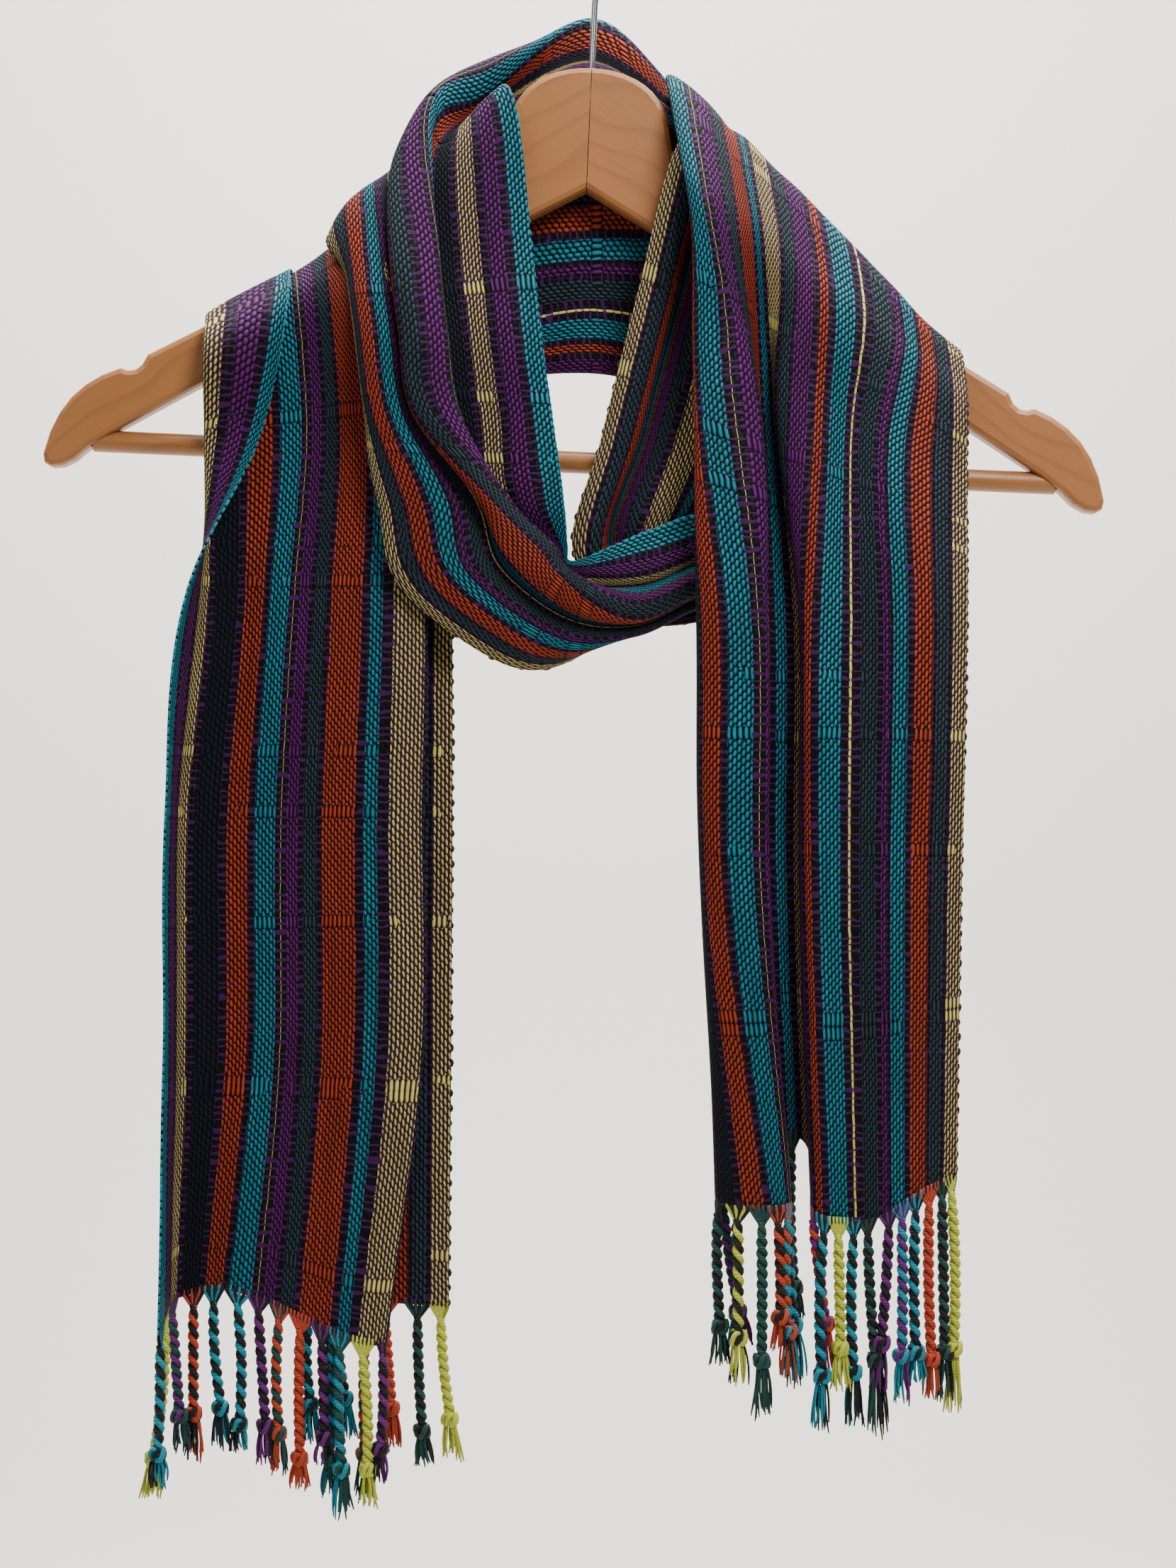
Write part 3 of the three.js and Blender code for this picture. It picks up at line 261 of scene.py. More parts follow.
ROUTE: tuple[Section, ...] = (
    Section("left hem", Pleat.HEM_LEFT, (-181, -8, -599), (-63.5, -8, -599), 0),
    Section("left tail low", Pleat.TAIL_LEFT, (-179, -8, -497), (-62.5, -8, -497), 0),
    Section("left tail", Pleat.TAIL_LEFT, (-178, -8, -392), (-62, -8, -392), 0),
    Section("left tail high", Pleat.TAIL_LEFT, (-169, -8, -302), (-62, -8, -302), 0),
    Section("left flap", Pleat.FLAP_LEFT, (-168, -8.6, -240), (-62, -8.6, -232), 0),
    Section("left arm front", Pleat.SHOULDER_LEFT, (-168.5, -9.4, -194.5), (-84, -9.4, -152), 20),
    Section("left arm top", Pleat.SHOULDER_LEFT, (-168.7, 0, -187.8), (-86, 0, -146), 90),
    Section("left arm back", Pleat.SHOULDER_LEFT, (-165, 9.4, -193.5), (-81, 9.4, -150.5), 160),
    Section("behind left", Pleat.NECK_UNDER, (-92, 8.6, -206), (-55, 8.6, -126), 180),
    Section("behind neck", Pleat.NECK_UNDER, (-3, 8.6, -209), (-3, 8.6, -118), 180),
    Section("behind right", Pleat.NECK_UNDER, (72, 8.6, -214), (36, 8.6, -114), 180),
    Section("right arm back", Pleat.STRIP, (121, 10, -197), (40, 9, -117), 160),
    Section("right arm top", Pleat.STRIP, (122, 0, -181), (37, 0, -111), 90),
    Section("right arm front", Pleat.STRIP, (120, -10.4, -198), (31, -9.8, -120), 20),
    Section("strip high", Pleat.STRIP, (114, -9.4, -224), (15.5, -9.4, -178), 0),
    Section("strip", Pleat.STRIP, (104, -9.4, -242), (0, -9.4, -240), 0),
    Section("strip low", Pleat.STRIP, (84, -9.4, -256), (-11, -9.4, -288), 0),
    Section("strip foot", Pleat.TURN, (58, -9.4, -273), (20, -9.4, -316), 0),
    Section("turn back", Pleat.TURN, (66, -11.5, -272), (58, -11.5, -311), 0),
    Section("turn front", Pleat.TURN, (66, -21.5, -271), (58, -21.5, -311), 0),
    Section("cowl right", Pleat.COWL_END, (46, -22, -270), (42, -22, -311), 0),
    Section("cowl low right", Pleat.COWL_END, (20, -22.5, -278), (14, -22.5, -323), 0),
    Section("cowl bottom", Pleat.COWL_FRONT, (-13, -22, -290), (-42, -23, -332), 0),
    Section("cowl low left", Pleat.COWL_FRONT, (-14, -21, -284), (-79, -27, -306), 0),
    Section("cowl side", Pleat.COWL_SIDE, (-15, -20, -270), (-92, -28, -266), 0),
    Section("cowl rise", Pleat.COWL_UP, (-20.5, -19, -228), (-99, -30, -226), 0),
    Section("cowl high", Pleat.COWL_UP, (-24.5, -18.5, -199), (-103, -30, -196), 0),
    Section("cowl top", Pleat.COWL_UP, (-28, -15.5, -165), (-106, -27, -175), 10),
    Section("left crest", Pleat.CREST_LEFT, (-40, -7, -90), (-107, -2, -149), 90),
    Section("arch left", Pleat.ARCH_LEFT, (-46, 11.5, -71), (-74, 11.5, -178), 180),
    Section("arch", Pleat.ARCH, (-4, 11.5, -54.5), (-4, 11.5, -177), 180),
    Section("arch right", Pleat.ARCH, (25, 17, -76), (62, 16, -186), 180),
    Section("right shoulder back", Pleat.FAN, (28, 20, -86), (148, 22, -211), 170),
    Section("right crest", Pleat.FAN, (26, 3, -84), (149.5, 0, -200.5), 80),
    Section("right fan", Pleat.FAN, (32, -27, -128), (151.5, -17, -219), 10),
    Section("right tail top", Pleat.TAIL_RIGHT_TOP, (37, -31, -202), (151, -22, -258), 0),
    Section("right tail high", Pleat.TAIL_RIGHT, (38.5, -37, -314), (150, -30, -322), 0),
    Section("right tail", Pleat.TAIL_RIGHT, (40, -34, -416), (148, -29, -416), 0),
    Section("right hem", Pleat.HEM_RIGHT, (44.5, -30, -556), (146, -27, -556), 0),
)


# The numbers by which the weave knows a stripe's kind, and the bounds between them.
LADDER_MARK, THIN_MARK, LINE_MARK, PLAIN_MARK = 1.0, 0.5, 0.25, 0.0
LADDER_FROM, THIN_FROM, LINE_FROM = 0.75, 0.4, 0.1
LINE_WIDTH = 2


class Stripe(NamedTuple):
    """One lengthwise stripe of the warp, up to a distance from the teal selvage in mm."""

    until: float
    yarn: Yarn
    ladder: bool = False

    def mark(self, start: float) -> float:
        """The number by which the weave knows the stripe's kind.

        Args:
            start: where the stripe starts, in mm from the teal selvage.

        Returns:
            One mark each for a ladder, a stripe of thin floats, a single line and the rest.
        """
        if self.ladder:
            return LADDER_MARK
        if self.yarn is not Yarn.YELLOW:
            return PLAIN_MARK
        return LINE_MARK if self.until - start < LINE_WIDTH else THIN_MARK


def striped(*rows: tuple[float, Yarn, float]) -> tuple[Stripe, ...]:
    """Lays out coloured stripes, each with the dark ladder after it.

    Args:
        rows: where each stripe ends, its yarn and how wide the ladder after it is, in mm.

    Returns:
        The stripes and ladders in order.
    """
    laid: list[Stripe] = []
    for until, yarn, ladder in rows:
        laid.append(Stripe(until, yarn))
        if ladder:
            laid.append(Stripe(until + ladder, Yarn.BLACK, True))
    return tuple(laid)


STRIPES = striped(
    (8, Yarn.TEAL, 2.5), (18, Yarn.PURPLE, 2.5), (30.5, Yarn.YELLOW, 2), (42.5, Yarn.NAVY, 2),
    (54.5, Yarn.ORANGE, 2), (66.5, Yarn.TEAL, 2), (69.5, Yarn.YELLOW, 2), (78.5, Yarn.PURPLE, 2),
    (88.5, Yarn.SLATE, 2), (106.5, Yarn.ORANGE, 3), (116.5, Yarn.TEAL, 3), (133.5, Yarn.YELLOW, 3),
    (143.5, Yarn.SLATE, 1), (154.5, Yarn.PURPLE, 3), (162.5, Yarn.ORANGE, 3), (175.5, Yarn.TEAL, 3),
    (180, Yarn.YELLOW, 4), (193, Yarn.SLATE, 2), (199, Yarn.PURPLE, 1), (207, Yarn.TEAL, 2),
    (218, Yarn.ORANGE, 1), (225, Yarn.SLATE, 1), (235, Yarn.YELLOW, 0),
)
# The number of stripes that one colour ramp can hold is limited, so they go into two.
STRIPE_BREAK = 21


@dataclass(frozen=True)
class Crease:
    """A soft ridge, or a trough where its height is negative, drawn along the cloth in mm."""

    start: tuple[float, float]
    end: tuple[float, float]
    width: float
    height: float


CREASES: tuple[Crease, ...] = (
    Crease((30, 60), (210, 74), 9, 0.9), Crease((10, 100), (160, 92), 7, -0.8),
    Crease((120, 112), (330, 120), 8, 0.8), Crease((200, 40), (380, 48), 7, -0.9),
    Crease((60, 30), (150, 36), 5, 0.7), Crease((240, 86), (400, 96), 9, 0.8),
    Crease((700, 60), (820, 90), 8, 0.7), Crease((740, 120), (850, 140), 7, -0.7),
    Crease((1010, 30), (1120, 38), 6, -0.7), Crease((1040, 90), (1130, 82), 6, 0.7),
    Crease((1330, 90), (1560, 118), 9, 0.9), Crease((1400, 200), (1640, 206), 8, -0.9),
    Crease((1500, 60), (1700, 66), 6, 0.7), Crease((1560, 150), (1860, 164), 9, 0.9),
    Crease((1680, 212), (1870, 220), 7, 0.7), Crease((1620, 180), (1780, 188), 6, -0.8),
)


# How high the small puckers stand, and how bluntly a crease fades at its ends.
PUCKER = 0.22
CREASE_FADE = 0.7


class Surface(NamedTuple):
    """A grid of points on the cloth: rows run along the scarf, columns across it."""

    points: np.ndarray
    across: np.ndarray
    along: np.ndarray


class ScarfForm:
    """The middle surface of the whole scarf, smooth through its pleated sections."""

    def __init__(self, route: Sequence[Section]) -> None:
        """Works out the folds of each section and the distances between sections.

        Args:
            route: the sections, from the left hem to the right one.
        """
        self.route = route
        self.folds = np.array([self._section_folds(section) for section in route])
        steps = np.linalg.norm(np.diff(self.folds[:, :, :3], axis=0), axis=2).mean(axis=1)
        self.stations = np.concatenate([[0.0], np.cumsum(steps)])

    @staticmethod
    def _section_folds(section: Section) -> list[list[float]]:
        """Places a section's folds.

        Args:
            section: the section's chord and pleats.

        Returns:
            A row of x, y, z and distance across, all in mm, for each fold.
        """
        turn = math.radians(section.facing)
        outward = Vector((0.0, -math.cos(turn), math.sin(turn)))
        teal, yellow = Vector(section.teal), Vector(section.yellow)
        drops = HEM_DROP[section.pleat] if section.name.endswith("hem") else None
        rows = []
        for index, fold in enumerate(PLEATS[section.pleat]):
            point = teal.lerp(yellow, fold.along) + outward * fold.out
            if drops:
                point.z += drops[index]
            rows.append([point.x, point.y, point.z, fold.across])
        return rows

    def station(self, name: str) -> float:
        """The distance along the scarf of a named section, in mm."""
        names = [section.name for section in self.route]
        return float(self.stations[names.index(name)])

    def _length_weights(self, distances: np.ndarray) -> np.ndarray:
        """Weights of a smooth curve through the sections.

        Args:
            distances: distances along the scarf, in mm.

        Returns:
            A row of weights, one for each section, for each distance.
        """
        knots = self.stations
        last = len(knots) - 1
        weights = np.zeros((len(distances), len(knots)))
        for row, distance in enumerate(distances):
            i = int(np.clip(np.searchsorted(knots, distance, side="left") - 1, 0, last - 1))
            span = knots[i + 1] - knots[i]
            t = (distance - knots[i]) / span
            line = weights[row]
            if t < 0 or t > 1:
                line[i] += 1 - t
                line[i + 1] += t
                continue
            line[i] += 2 * t**3 - 3 * t**2 + 1
            line[i + 1] += -2 * t**3 + 3 * t**2
            for k, scale in ((i, span * (t**3 - 2 * t**2 + t)), (i + 1, span * (t**3 - t**2))):
                self._add_tangent(line, k, scale)
        return weights

    def _add_tangent(self, line: np.ndarray, k: int, scale: float) -> None:
        """Adds the weights of the slope at one section.

        Args:
            line: the weights to add to, one for each section.
            k: the section's number.
            scale: what the slope is multiplied by.
        """
        knots = self.stations
        last = len(knots) - 1
        if k in (0, last):
            a = 0 if k == 0 else last - 1
            step = knots[a + 1] - knots[a]
            line[a + 1] += scale / step
            line[a] -= scale / step
            return
        before, after = knots[k] - knots[k - 1], knots[k + 1] - knots[k]
        total = before + after
        line[k + 1] += scale * before / (after * total)
        line[k] += scale * (after / (before * total) - before / (after * total))
        line[k - 1] -= scale * after / (before * total)

    def _fold_weights(self, places: np.ndarray) -> np.ndarray:
        """Weights of a uniform cubic B-spline across the folds, with its ends held.

        Args:
            places: places among the folds, from 0 to one less than their number.

        Returns:
            A row of weights, one for each fold, for each place.
        """
        count = self.folds.shape[1]
        weights = np.zeros((len(places), count))
        for row, place in enumerate(places):
            i = min(int(place), count - 2)
            t = place - i
            basis = (
                (1 - t) ** 3 / 6,
                (3 * t**3 - 6 * t**2 + 4) / 6,
                (-3 * t**3 + 3 * t**2 + 3 * t + 1) / 6,
                t**3 / 6,
            )
            for step, weight in enumerate(basis):
                fold = i - 1 + step
                if fold < 0:
                    weights[row, 0] += 2 * weight
                    weights[row, 1] -= weight
                elif fold >= count:
                    weights[row, count - 1] += 2 * weight
                    weights[row, count - 2] -= weight
                else:
                    weights[row, fold] += weight
        return weights

    def surface(self, distances: np.ndarray, places: np.ndarray) -> Surface:
        """Samples the cloth, with its soft creases.

        Args:
            distances: distances along the scarf, in mm.
            places: places among the folds.

        Returns:
            The grid, in mm.
        """
        length = self._length_weights(distances)
        width = self._fold_weights(places)
        values = np.einsum("ri,ijk,cj->rck", length, self.folds, width)
        points, across = values[:, :, :3], values[:, :, 3]
        slope_along = np.gradient(points, axis=0)
        slope_across = np.gradient(points, axis=1)
        normals = np.cross(slope_across, slope_along)
        normals /= np.maximum(np.linalg.norm(normals, axis=2, keepdims=True), 1e-9)
        along = self._picks(points) + distances[0]
        lift = self._lift(np.broadcast_to(distances[:, None], across.shape), across)
        return Surface(points + normals * lift[:, :, None], across, along)

    @staticmethod
    def _picks(points: np.ndarray) -> np.ndarray:
        """Runs the weft square to the warp: finds each point's distance along the cloth.

        The steps down the columns are as near as can be to their lengths, and those across the rows
        to what they lean along the columns. A cosine series gives the best fit to both at once.

        Args:
            points: the grid of points, with rows along the scarf.

        Returns:
            The distance along the cloth of each point, in mm, from the first one.
        """
        rows, columns = points.shape[:2]
        slope = np.gradient(points, axis=0)
        slope /= np.maximum(np.linalg.norm(slope, axis=2, keepdims=True), 1e-9)
        down = np.linalg.norm(np.diff(points, axis=0), axis=2)
        step = np.diff(points, axis=1)
        lean = (step * (slope[:, 1:] + slope[:, :-1]) / 2).sum(axis=2)
        weight_down = 1 / max(float(down.mean()), 1e-9) ** 2
        weight_lean = 1 / max(float(np.linalg.norm(step, axis=2).mean()), 1e-9) ** 2
        load = np.zeros((rows, columns))
        load[1:] += weight_down * down
        load[:-1] -= weight_down * down
        load[:, 1:] += weight_lean * lean
        load[:, :-1] -= weight_lean * lean
        mirrored = np.block([[load, load[:, ::-1]], [load[::-1], load[::-1, ::-1]]])
        stiff_down = weight_down * (2 - 2 * np.cos(math.pi * np.arange(2 * rows) / rows))
        stiff_lean = weight_lean * (2 - 2 * np.cos(math.pi * np.arange(2 * columns) / columns))
        stiff = stiff_down[:, None] + stiff_lean[None, :]
        stiff[0, 0] = 1.0
        series = np.fft.fft2(mirrored) / stiff
        series[0, 0] = 0.0
        along = np.real(np.fft.ifft2(series))[:rows, :columns]
        return along - along[0, 0]

    @staticmethod
    def _lift(along: np.ndarray, across: np.ndarray) -> np.ndarray:
        """How far creases and small puckers lift the cloth.

        Args:
            along: distance along the scarf of each point, in mm.
            across: distance from the teal selvage of each point, in mm.

        Returns:
            The height of each point, in mm.
        """
        sway = along / 17.0 + 1.7 * np.sin(across / 23.0)
        lift = PUCKER * np.sin(sway) * np.sin(across / 13.0 + along / 61.0)
        for crease in CREASES:
            start, end = np.array(crease.start), np.array(crease.end)
            line = end - start
            reach = np.linalg.norm(line)
            line = line / reach
            t = ((along - start[0]) * line[0] + (across - start[1]) * line[1]) / reach
            off = (along - start[0]) * line[1] - (across - start[1]) * line[0]
            fade = np.sin(np.clip(t, 0, 1) * math.pi) ** CREASE_FADE
            lift = lift + crease.height * fade * np.exp(-((off / crease.width) ** 2))
        return lift

    def place_across(self, section: str, across: float) -> float:
        """Finds the place among the folds that lies a distance from the teal selvage.

        Args:
            section: the section's name.
            across: the distance from the teal selvage, in mm.

        Returns:
            The place among the folds.
        """
        names = [row.name for row in self.route]
        folds = self.folds[names.index(section)][:, 3]
        places = np.linspace(0, len(folds) - 1, 600)
        return float(np.interp(across, self._fold_weights(places) @ folds, places))


# ---- Materials ---------------------------------------------------------------------------------
Socket = bpy.types.NodeSocket
Input = Socket | float | Sequence[float]
Tint = tuple[float, float, float, float]

# The mix node lists its sockets for numbers, vectors and colours; these are the colours' numbers.
MIX_FIRST, MIX_SECOND, MIX_RESULT = 6, 7, 2


class Graph:
    """One material's nodes, with short calls for those it needs."""

    def __init__(self, name: str) -> None:
        """Starts a material.

        Args:
            name: the material's name.
        """
        self.material = bpy.data.materials.new(name)
        self.material.use_nodes = True
        self.tree = self.material.node_tree
        self.shader = self.tree.nodes["Principled BSDF"]

    def node(self, kind: str, **settings: object) -> bpy.types.Node:
        """Adds a node and sets its options."""
        made = self.tree.nodes.new(kind)
        for key, value in settings.items():
            setattr(made, key, value)
        return made

    def feed(self, socket: Socket, value: Input) -> None:
        """Links a socket to another, or sets it to a number.

        Args:
            socket: the input socket.
            value: an output socket, a number or a tuple.
        """
        if isinstance(value, Socket):
            self.tree.links.new(value, socket)
        else:
            socket.default_value = value

    def math(self, operation: str, first: Input, second: Input = 0.0, third: Input = 0.0) -> Socket:
        """Works out one sum on numbers.

        Args:
            operation: the name of the sum, such as MULTIPLY.
            first: its first number or socket.
            second: its second number or socket.
            third: its third number or socket.

        Returns:
            The socket with the result.
        """
        made = self.node("ShaderNodeMath", operation=operation)
        for socket, value in zip(made.inputs, (first, second, third)):
            self.feed(socket, value)
        return made.outputs[0]

    def times(self, first: Input, second: Input) -> Socket:
        """Multiplies two numbers."""
        return self.math("MULTIPLY", first, second)

    def plus(self, first: Input, second: Input) -> Socket:
        """Adds two numbers."""
        return self.math("ADD", first, second)

    def line(self, value: Input, slope: Input, start: Input) -> Socket:
        """Multiplies a number by a slope and adds a start."""
        return self.math("MULTIPLY_ADD", value, slope, start)

    def between(self, value: Input, low: float, high: float) -> Socket:
        """A mask that is 1 where a number lies between two bounds."""
        return self.times(self.math("GREATER_THAN", value, low), self.math("LESS_THAN", value, high))

    def from_middle(self, value: Input) -> Socket:
        """How far the fraction of a number lies from a half, with its sign."""
        return self.math("SUBTRACT", self.math("FRACT", value), 0.5)

    def stretched(self, places: Sequence[Input], scales: Sequence[float | None], scale: float,
                  detail: float = 2.0) -> Socket:
        """Smooth noise from 0 to 1 that is finer one way than another.

        Args:
            places: the numbers or sockets that it is read at.
            scales: what each is multiplied by first, or None to leave it.
            scale: how fine the noise is.
            detail: how many finer layers it has.

        Returns:
            The socket with the noise.
        """
        spots = [place if by is None else self.times(place, by) for place, by in zip(places, scales)]
        return self.noise(self.join(*spots), scale, detail)

    def mapped(self, layer: str) -> Sequence[Socket]:
        """The two numbers of a UV map.

        Args:
            layer: the UV map's name.

        Returns:
            The sockets with its first and second number.
        """
        spot = self.node("ShaderNodeSeparateXYZ")
        self.feed(spot.inputs[0], self.node("ShaderNodeUVMap", uv_map=layer).outputs[0])
        return spot.outputs[:2]

    def soft_step(self, value: Input, low: float, high: float) -> Socket:
        """Goes smoothly from 0 at low to 1 at high; low may be the larger.

        Args:
            value: the number or socket that is tested.
            low: where the result is 0.
            high: where the result is 1.

        Returns:
            The socket with the result.
        """
        made = self.node("ShaderNodeMapRange", interpolation_type="SMOOTHSTEP")
        self.feed(made.inputs["Value"], value)
        ends = (low, high, 0.0, 1.0) if low < high else (high, low, 1.0, 0.0)
        for key, end in zip(("From Min", "From Max", "To Min", "To Max"), ends):
            made.inputs[key].default_value = end
        return made.outputs[0]

    def mix(self, factor: Input, first: Input, second: Input, blend: str = "MIX") -> Socket:
        """Mixes two colours.

        Args:
            factor: how much of the second is taken.
            first: the first colour.
            second: the second colour.
            blend: how they are mixed, such as MULTIPLY.

        Returns:
            The socket with the mixed colour.
        """
        made = self.node("ShaderNodeMix", data_type="RGBA", blend_type=blend)
        self.feed(made.inputs["Factor"], factor)
        self.feed(made.inputs[MIX_FIRST], first)
        self.feed(made.inputs[MIX_SECOND], second)
        return made.outputs[MIX_RESULT]

    def scale(self, colour: Input, factor: Input) -> Socket:
        """Makes a colour lighter or darker.

        Args:
            colour: the colour's socket or value.
            factor: what it is multiplied by.

        Returns:
            The socket with the new colour.
        """
        made = self.node("ShaderNodeVectorMath", operation="SCALE")
        self.feed(made.inputs[0], colour)
        self.feed(made.inputs["Scale"], factor)
        return made.outputs[0]

    def join(self, x: Input, y: Input, z: Input = 0.0) -> Socket:
        """Makes a vector of three numbers or sockets."""
        made = self.node("ShaderNodeCombineXYZ")
        for socket, value in zip(made.inputs, (x, y, z)):
            self.feed(socket, value)
        return made.outputs[0]

    def noise(self, vector: Input, scale: float, detail: float = 2.0) -> Socket:
        """Smooth noise from 0 to 1.

        Args:
            vector: where it is read.
            scale: how fine it is.
            detail: how many finer layers it has.

        Returns:
            The socket with the noise.
        """
        made = self.node("ShaderNodeTexNoise")
        self.feed(made.inputs["Vector"], vector)
        made.inputs["Scale"].default_value = scale
        made.inputs["Detail"].default_value = detail
        return made.outputs[0]

    def ramp(self, value: Input, stops: Sequence[tuple[float, Sequence[float]]]) -> bpy.types.Node:
        """Turns a number into a colour that changes sharply.

        Args:
            value: the number from 0 to 1.
            stops: places and colours with alpha, in order.

        Returns:
            The ramp's node, with its colour and alpha outputs.
        """
        made = self.node("ShaderNodeValToRGB")
        band = made.color_ramp
        band.interpolation = "CONSTANT"
        while len(band.elements) < len(stops):
            band.elements.new(0.5)
        for element, (place, colour) in zip(band.elements, stops):
            element.position = place
            element.color = colour
        self.feed(made.inputs[0], value)
        return made

    def bump(self, height: Input, strength: float, distance: float) -> None:
        """Gives the shader fine relief.

        Args:
            height: the relief's height.
            strength: how much of it is used.
            distance: its depth in metres.
        """
        made = self.node("ShaderNodeBump")
        made.inputs["Strength"].default_value = strength
        made.inputs["Distance"].default_value = distance
        self.feed(made.inputs["Height"], height)
        self.tree.links.new(made.outputs[0], self.shader.inputs["Normal"])

    def set_constants(self, **values: float) -> None:
        """Sets the shader's own sockets, named with underscores for spaces."""
        for key, value in values.items():
            self.shader.inputs[key.replace("_", " ")].default_value = value


@dataclass(frozen=True)
class WovenFinish:
    """The striped plain weave: oval warp floats in a brick order, dark ladders and bands of long floats.

    Lengths are in mm. A span is where a soft edge starts and where it ends. Each float's colour carries
    painted shade: lighter at its crown, darker towards its edges.
    """

    name: str = "striped_weave"
    pitch: float = 1.6
    float_length: float = 3.3
    long_pitch: float = 2.1
    lean: float = 0.3
    rung_gap: float = 3.5
    rung_reach: float = 0.1
    width: float = 235.0
    band_periods: tuple[tuple[float, float], ...] = ((71.0, 0.2), (113.0, 0.65))
    band_half: float = 2.7
    band_cover: float = 0.47
    yarn_wander: float = 0.9
    pick_wander: float = 1.6
    rung_wander: float = 2.2
    edge_wave: float = 0.25
    slimness: float = 2.05
    thin_slimness: float = 1.0
    float_span: tuple[float, float] = (1.05, 0.72)
    rung_span: tuple[float, float] = (0.32, 0.38)
    rung_jut: float = 1.3
    core_spread: float = 0.35
    line_depth: float = 0.3
    rung_height: float = 0.8
    relief: float = 0.8

    def material(self) -> bpy.types.Material:
        """Builds the finish, which reads the cloth's own place in mm from its UV map and its row."""
        g = Graph(self.name)
        across, along = g.mapped("cloth")
        wander = g.stretched((across, along), (0.02, 0.05), 3.0)
        placed = g.plus(across, g.line(wander, self.yarn_wander, -self.yarn_wander / 2))
        beat = g.line(wander, self.pick_wander, along)
        wave = g.math("SINE", g.times(beat, 2 * math.pi / self.float_length))
        warp, kind = self._stripe_at(g, g.line(wave, self.edge_wave, placed))
        thin = g.between(kind, THIN_FROM, LADDER_FROM)
        line = g.between(kind, LINE_FROM, THIN_FROM)
        slim = g.line(thin, self.thin_slimness, self.slimness)
        short = self._oval(g, placed, beat, slim)
        long, band = self._long_floats(g, placed, across)
        oval = self._blend(g, band, short, long)
        oval = self._blend(g, line, oval, self.line_depth)
        height = g.math("SQRT", g.math("MAXIMUM", g.math("SUBTRACT", 1.0, oval), 0.0))
        cover = g.soft_step(oval, *self.float_span)
        # lit is the warp's colour with random tone and painted shade, lighter on each float's crown and
        # darker at its edges.
        lit = g.scale(warp, self._tone_and_painted_shade(g, across, along, placed, height))
        colour = g.mix(cover, g.mix(thin, Yarn.BLACK.linear, Yarn.PLUM.linear), lit)
        core = self._ladder(g, placed, self.core_spread)
        jut = g.stretched((across, along), (0.4, 0.3), 1.0)
        wide = self._ladder(g, placed, g.line(jut, self.rung_jut, self.rung_reach))
        rungs = g.line(wander, self.rung_wander, g.math("DIVIDE", along, self.rung_gap))
        bar = g.soft_step(g.math("ABSOLUTE", g.from_middle(rungs)), *self.rung_span)
        rung = g.times(bar, wide)
        # The ladders' black yarn carries painted highlight and shade: lighter on the crown of each float,
        # darker at its edges.
        colour = g.mix(core, colour, g.scale(Yarn.BLACK.linear[:3], g.line(height, 0.8, 0.6)))
        colour = g.mix(rung, colour, Yarn.RUNG.linear)
        full = self._blend(g, core, g.times(height, cover), g.line(height, 0.4, 0.3))
        full = self._blend(g, rung, full, self.rung_height)
        g.feed(g.shader.inputs["Base Color"], colour)
        g.feed(g.shader.inputs["Roughness"], g.line(height, -0.22, 0.82))
        g.set_constants(Sheen_Weight=0.01, Sheen_Roughness=0.5, Specular_IOR_Level=0.12)
        g.bump(full, 1.0, self.relief * MM)
        return g.material

    def _oval(self, g: Graph, across: Input, along: Input, slim: Input) -> Socket:
        """Draws leaning warp floats in a brick order.

        Args:
            g: the material's nodes.
            across: the distance from the teal selvage, in mm.
            along: the distance along the cloth, in mm.
            slim: how slim the floats are; 2 fills their place.

        Returns:
            A number that is 0 in the middle of a float and 1 at its edge.
        """
        yarns = g.math("DIVIDE", across, self.pitch)
        side = g.from_middle(yarns)
        turn = g.line(g.math("FLOOR", yarns), 0.5, g.math("DIVIDE", along, self.float_length))
        brick = g.from_middle(turn)
        leaning = g.math("ABSOLUTE", g.line(brick, self.lean, side))
        side_part = g.math("POWER", g.times(leaning, slim), 2.0)
        brick_part = g.math("POWER", g.times(g.math("ABSOLUTE", brick), 2.1), 2.0)
        return g.plus(side_part, brick_part)

    def _long_floats(self, g: Graph, placed: Input, across: Input) -> tuple[Socket, Socket]:
        """Draws the long, straight floats of the bands, which come and go across the cloth.

        Args:
            g: the material's nodes.
            placed: the distance from the teal selvage with the yarns' wander, in mm.
            across: the distance from the teal selvage, in mm.

        Returns:
            A number that is 0 in the middle of a float and 1 at its edge, and the bands' mask.
        """
        row = g.node("ShaderNodeAttribute", attribute_name="row").outputs["Fac"]
        distances = []
        for period, phase in self.band_periods:
            part = g.from_middle(g.plus(g.math("DIVIDE", row, period), phase))
            distances.append(g.times(g.math("ABSOLUTE", part), period))
        near = g.math("MINIMUM", distances[0], distances[1])
        side = g.math("ABSOLUTE", g.from_middle(g.math("DIVIDE", placed, self.long_pitch)))
        side_part = g.math("POWER", g.times(side, 2.6), 2.0)
        end_part = g.math("POWER", g.math("DIVIDE", near, self.band_half), 4.0)
        here = g.stretched((across, row), (0.035, 0.03), 1.0)
        close = g.math("LESS_THAN", near, self.band_half)
        band = g.times(close, g.math("GREATER_THAN", here, self.band_cover))
        return g.plus(side_part, end_part), band

